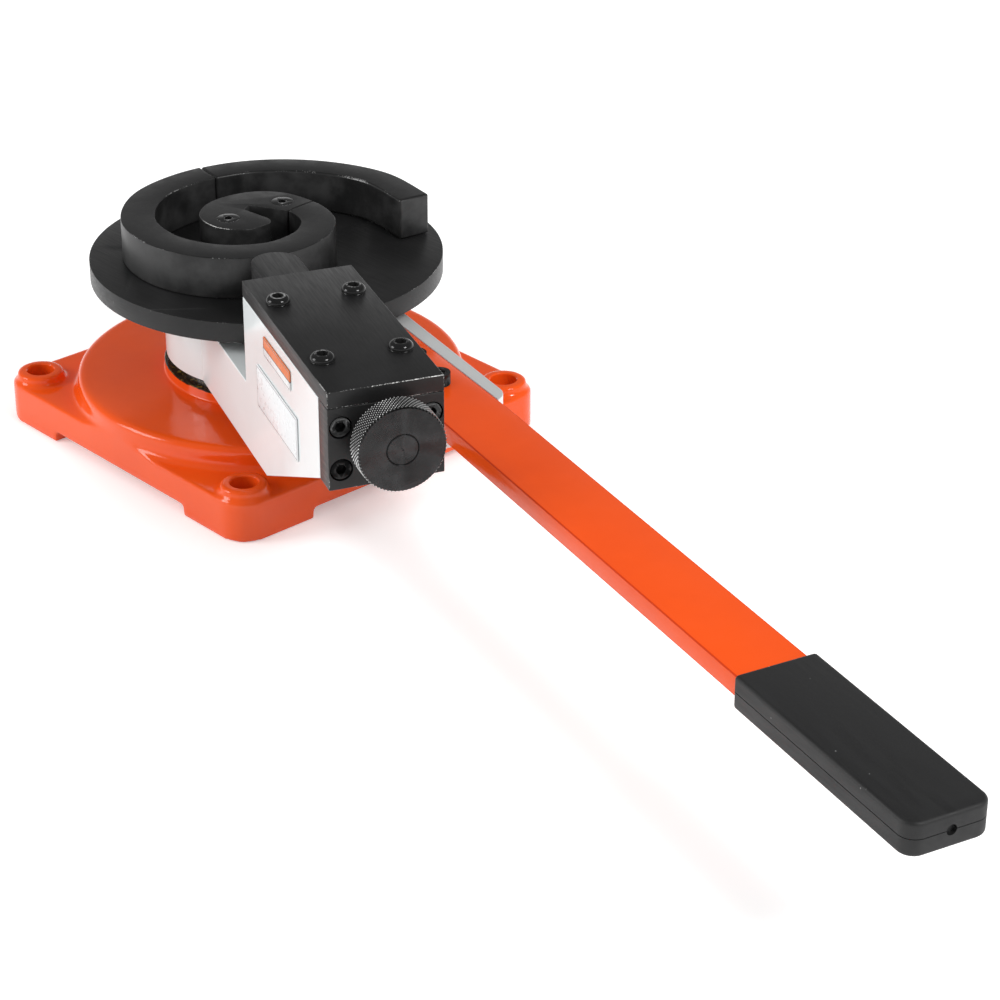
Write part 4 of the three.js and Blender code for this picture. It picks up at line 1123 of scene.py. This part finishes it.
def pusher_bar():
    """The pusher: a bar with a full round nose and the socket for the lead screw's collar."""
    low, high = box_in("pusher_bar", ARM)
    middle, half = (low.y + high.y) / 2, (high.y - low.y) / 2
    nose = arc(low.x + half, middle, half, 90, 270, 4 * CORNER_STEPS)
    pusher = slots(prism("pusher_bar_black", [(high.x, low.y), (high.x, high.y), *nose], low.z, high.z))
    start, height = box_in("lead_screw", ARM)[0].x, middle_in("lead_screw", ARM).z
    collar = bar("collar", 0, high.x - start + GAP + OVERRUN, COLLAR_RADIUS + GAP)
    cut(pusher, move(collar, laid_at(start - GAP, middle, height)))
    tidy(pusher)
    bevel(pusher, STEEL_EDGE, edge_slot=1)
    drill_for(move(pusher, ARM), numbered("retaining_pin", 2), ARM)
    return complete(pusher, "pusher", "black_oxide", "pusher_bar", black_arm, edge_steel)


# Lead screw and knob


def thread_ridge(radius):
    """One helical ridge, screwed up Z from a small triangle."""
    add = bpy.ops.mesh.primitive_circle_add
    ridge = primitive("ridge", add, vertices=3, radius=1, fill_type="NOTHING")
    foot, half = radius - THREAD_DEPTH - THREAD_SINK, 0.45 * THREAD_PITCH
    for vertex, (x, z) in zip(ridge.data.vertices, ((radius, 0), (foot, half), (foot, -half))):
        vertex.co = (x, 0, z)
    modify(
        ridge, "SCREW", screw_offset=THREAD_PITCH, iterations=THREAD_TURNS, steps=THREAD_STEPS,
        render_steps=THREAD_STEPS, use_merge_vertices=True,
    )
    with editing(ridge):
        bpy.ops.mesh.fill_holes(sides=0)
    return ridge


def lead_screw():
    low, high = box_in("lead_screw", ARM)
    middle = middle_in("lead_screw", ARM)
    radius, length = lead_screw_radius(), high.x - low.x
    root, wide = radius - THREAD_DEPTH, 2 * radius
    shoulder = box_in("pusher_bar", ARM)[1].x + GAP - low.x
    plug_start = box_in("knob", ARM)[0].x - low.x
    profile = [
        (COLLAR_RADIUS, 0), (COLLAR_RADIUS, COLLAR_END), (NECK_RADIUS, COLLAR_END), (NECK_RADIUS, NECK_END),
        (COLLAR_RADIUS, NECK_END), (COLLAR_RADIUS, shoulder), (root, shoulder), (root, plug_start),
        (radius, plug_start), (radius, length - PLUG_EDGE), (radius - PLUG_EDGE, length),
    ]
    screw = slots(turned("lead_screw_threaded", profile))
    dimple = [(0.1 * MM, length - DIMPLE_DEPTH), (DIMPLE_RADIUS, length + 0.1 * MM)]
    cut(screw, turned("dimple", dimple, DIMPLE_SIDES))
    ridge = move(thread_ridge(radius), Matrix.Translation((0, 0, shoulder - THREAD_PITCH)))
    for start, end in ((-FAR, shoulder + 0.2 * MM), (plug_start - 0.3 * THREAD_PITCH, FAR)):
        cut(ridge, block("trim", (-wide, -wide, start), (wide, wide, end)))
    move(join(screw, ridge), laid_at(low.x, middle.y, middle.z))
    return complete(screw, "screw_and_knob", "black_oxide", "lead_screw", face_black, edge_steel, turn=ARM)


def knurled(piece, radius, bottom, top):
    """Raises diamond points on the side: every second grid point sinks, and lines join the low ones."""
    step, height = FULL_TURN / (2 * KNURL_COUNT), (top - bottom) / KNURL_ROWS
    share = (radius - KNURL_DEPTH) / radius
    take(piece)
    bpy.ops.object.mode_set(mode="EDIT")
    bpy.ops.mesh.select_mode(type="VERT")
    bpy.ops.mesh.select_all(action="DESELECT")
    bpy.ops.object.mode_set(mode="OBJECT")
    for vertex in piece.data.vertices:
        x, y, z = vertex.co
        row, column = round((z - bottom) / height), round(math.atan2(y, x) / step)
        on_grid = abs(math.hypot(x, y) - radius) < CLOSE and abs(z - bottom - row * height) < CLOSE
        if on_grid and (row + column) % 2:
            vertex.co = (x * share, y * share, z)
            vertex.select = True
    bpy.ops.object.mode_set(mode="EDIT")
    bpy.ops.mesh.vert_connect()
    bpy.ops.object.mode_set(mode="OBJECT")


def knob():
    low, high = box_in("knob", ARM)
    middle = middle_in("knob", ARM)
    radius, length, edge = (high.z - low.z) / 2, high.x - low.x, KNOB_CHAMFER
    bottom, top = edge, length - edge
    rings = [(radius, bottom + (top - bottom) * i / KNURL_ROWS) for i in range(KNURL_ROWS + 1)]
    profile = [(radius - edge, 0), *rings, (radius - edge, length)]
    body = slots(turned("knob_knurled", profile, 2 * KNURL_COUNT))
    knurled(body, radius, bottom, top)
    bore = lead_screw_radius() + GAP
    mouth = bore + KNOB_RIM
    hole = [(bore, -OVERRUN), (bore, length - KNOB_RIM), (mouth, length + 2 * CLOSE)]
    cut(body, turned("bore", [*hole, (mouth, length + OVERRUN)], HOLE_SIDES))
    move(body, laid_at(low.x, middle.y, middle.z))
    drill_for(move(body, ARM), ["knob_set_screw"])
    axis, centre = ARM @ Vector((1, 0, 0)), ARM @ middle

    def on_side(point, normal):
        offset = point - centre
        away = (offset - axis * offset.dot(axis)).length
        return away > radius - edge - 0.1 * MM and abs(normal.dot(axis)) < 0.9

    # The knurled side takes the knurl finish, with its painted highlight on the points and painted shade in
    # the valleys
    mark_faces(body, 1, on_side)
    return complete(body, "screw_and_knob", "black_oxide", "knob", face_black, knurl_black, below=20)


# Lever, grip and labels


def lever_bar():
    """The flat bar with its tapered tang, its long edges eased and coloured darker as painted shade."""
    low, high = box_in("lever_bar", LEVER)
    tang = [(LEVER_TANG_END, high.y), (low.x, rib_inner_side(low.x) - GAP)]
    outline = [low.xy, (high.x, low.y), high.xy, *tang]
    lever = slots(prism("lever_bar_painted", outline, low.z, high.z))
    # The rounded edges take the darker orange, painted shade along them
    bevel(lever, LEVER_EDGE_RADIUS, edge_slot=1)
    drill_for(move(lever, LEVER), numbered("lever_bolt", 3), LEVER, GAP - BOLT_SHOULDER)
    return complete(lever, "swing_arm", "orange_enamel", "lever_bar", bar_orange, lever_edge_shade)


def grip_outline(low, high, inset=0.0):
    """The grip's plan: square at its mouth and round at its end."""
    radius = GRIP_CORNER_RADIUS - inset
    x, near, far = high.x - inset - radius, low.y + inset, high.y - inset
    ends = [*corner(x, near + radius, radius, -90), *corner(x, far - radius, radius, 0)]
    return [(low.x, near), *ends, (low.x, far)]


def lever_grip():
    """The sleeve: rounded edges, a parting seam all round it, and a small vent hole in its end."""
    low, high = box_in("lever_grip", LEVER)
    bar_low, bar_high = box_in("lever_bar", LEVER)
    middle, reach = middle_in("lever_bar", LEVER), Vector((GAP, GAP, GAP))
    grip = prism("lever_grip_rubber", grip_outline(low, high), low.z, high.z)
    bevel(grip, GRIP_EDGE_RADIUS, segments=5, above=50)
    seam, core = (
        prism("seam", grip_outline(low, high, inset), GRIP_SEAM_HEIGHT - half, GRIP_SEAM_HEIGHT + half)
        for inset, half in ((-OVERRUN, GRIP_SEAM_WIDTH / 2), (GRIP_SEAM_DEPTH, GRIP_SEAM_WIDTH))
    )
    cut(seam, core)
    pocket = block("pocket", (low.x - OVERRUN, bar_low.y - GAP, bar_low.z - GAP), bar_high + reach)
    vent = bar("vent", 0, GRIP_HOLE_DEPTH + OVERRUN, GRIP_HOLE_RADIUS, SMALL_SIDES)
    cut(grip, seam, pocket, move(vent, laid_at(high.x - GRIP_HOLE_DEPTH, middle.y, middle.z)))
    return complete(grip, "swing_arm", "black_rubber", "lever_grip", black_rubber, turn=LEVER)


def label_plate(node_name, plain, band=None):
    """A thin blank plate with rounded corners and a slightly raised rim."""
    low, high = box_in(node_name, ARM)
    outline = rounded_rectangle((low.x, low.z), (high.x, high.z), LABEL_CORNER_RADIUS)
    plate = side_prism(node_name + "_blank", outline, low.y, high.y)
    bevel(plate, LABEL_EDGE_RADIUS, segments=2, above=50)
    foil = label_print(node_name + "_print", low, high, plain, band)
    return complete(plate, "swing_arm", "label_foil", node_name, foil, turn=ARM)


def finish_nodes(finish, *names):
    """Hidden pieces keep their solids and get a fine finish."""
    for name in names:
        materials = frame["nodes"][name].data.materials
        materials.clear()
        materials.append(finish.material)


def build_object():
    base_casting()
    die_plate()
    former_segment("middle", EYE_TURN, MIDDLE_TURN)
    former_segment("outer", MIDDLE_TURN, OUTER_TURN)
    centre_eye()
    set_screws(sunk_screw, SUNK_HEAD, "eye_screw", 2, HERE, black_screw, edge_ring)
    swing_frame()
    cover_plate()
    set_screws(button_screw, BUTTON_HEAD, "cover_screw", 4, ARM, black_screw, edge_ring)
    end_plate()
    set_screws(socket_screw, SOCKET_HEAD, "end_plate_screw", 4, ARM, black_plate, edge_plate)
    pusher_bar()
    lead_screw()
    knob()
    lever_bar()
    set_screws(socket_screw, LEVER_HEAD, "lever_bolt", 3, LEVER, black_screw, edge_plate)
    lever_grip()
    label_plate("lower_label", (0.82, 0.83, 0.84))
    label_plate("upper_label", (0.8, 0.8, 0.8), (0.72, 0.16, 0.03))
    finish_nodes(ground_steel, "spindle", "thrust_ring", *DOWELS, *numbered("retaining_pin", 2))
    finish_nodes(bearing_bronze, "lower_bush", "upper_bush", "upper_thrust_ring")
    finish_nodes(black_screw, *numbered("spindle_screw", 4), *numbered("plate_screw", 3), "knob_set_screw")


build_object()


# Floor, background, lamps and camera


def seen_rays(owner):
    """One for the rays that see a background: from the camera, from gloss and through glass."""
    rays = node(owner, "LightPath", {})
    seen = rays["Is Camera Ray"]
    for kind in ("Is Glossy Ray", "Is Transmission Ray"):
        seen = node(owner, "Math", {0: seen, 1: rays[kind]}, operation="MAXIMUM")[0]
    return seen


def floor():
    """A plain pale floor, lifted to white where the camera sees it and shaded where the object stands."""
    add = bpy.ops.mesh.primitive_plane_add
    plane = primitive("floor", add, size=FLOOR_SIZE, location=(0, 0, -FLOOR_DROP))
    material = bpy.data.materials.new("pale_floor")
    material.use_nodes = True
    material.node_tree.nodes.clear()
    lit = node(material, "BsdfDiffuse", {"Color": FLOOR_COLOUR})[0]
    seen = node(material, "BsdfDiffuse", {"Color": WHITE})[0]
    lift = node(material, "Emission", {"Strength": FLOOR_LIFT})[0]
    lifted = node(material, "AddShader", {0: seen, 1: lift})[0]
    mix = node(material, "MixShader", {0: seen_rays(material), 1: lit, 2: lifted})[0]
    node(material, "OutputMaterial", {"Surface": mix})
    plane.data.materials.append(material)


def studio_world():
    """A white studio that gives an even light, and that gloss sees with a dimmer ceiling."""
    world = bpy.data.worlds.new("studio")
    bpy.context.scene.world = world
    world.use_nodes = True
    world.node_tree.nodes.clear()
    direction = node(world, "TexCoord", {})["Generated"]
    height = node(world, "SeparateXYZ", {0: direction})["Z"]
    dimming = {"From Min": DIM_FROM, "From Max": DIM_TO, "To Min": 1.0, "To Max": CEILING_SHARE}
    shade = node(world, "MapRange", {"Value": height, **dimming}, interpolation_type="SMOOTHSTEP")[0]
    to_camera = node(world, "LightPath", {})["Is Camera Ray"]
    seen = node(world, "MapRange", {"Value": to_camera, "To Min": shade, "To Max": 1.0})[0]
    level = node(world, "MapRange", {"Value": seen_rays(world), "To Min": WORLD_LIGHT, "To Max": seen})[0]
    background = node(world, "Background", {"Color": WHITE, "Strength": level})[0]
    node(world, "OutputWorld", {"Surface": background})


def soft_lamp(name, azimuth, elevation, distance, size, power):
    """A square soft lamp aimed at the middle of the tool."""
    a, e = math.radians(azimuth), math.radians(elevation)
    away = Vector((math.cos(a) * math.cos(e), math.sin(a) * math.cos(e), math.sin(e)))
    light = bpy.data.lights.new(name, "AREA")
    light.shape = "SQUARE"
    light.size = size
    light.energy = power
    lamp = bpy.data.objects.new(name, light)
    lamp.location = LAMP_TARGET + away * distance
    lamp.rotation_euler = (-away).to_track_quat("-Z", "Y").to_euler()
    bpy.context.scene.collection.objects.link(lamp)


def camera():
    """The camera at the photograph's place and angle."""
    data = bpy.data.cameras.new("camera")
    data.sensor_width = SENSOR_WIDTH
    data.lens = CAMERA_LENS
    data.clip_start, data.clip_end = CLIP_NEAR, CLIP_FAR
    yaw, pitch, roll = (math.radians(angle) for angle in CAMERA_ANGLES)
    facing = Matrix.Rotation(yaw - QUARTER_TURN, 4, "Z") @ Matrix.Rotation(pitch + QUARTER_TURN, 4, "X")
    eye = bpy.data.objects.new("camera", data)
    eye.matrix_world = Matrix.Translation(CAMERA_PLACE) @ facing @ Matrix.Rotation(roll, 4, "Z")
    bpy.context.scene.collection.objects.link(eye)
    bpy.context.scene.camera = eye


floor()
studio_world()
for lamp in LAMPS:
    soft_lamp(*lamp)
camera()
bpy.context.scene.view_settings.view_transform = "Standard"
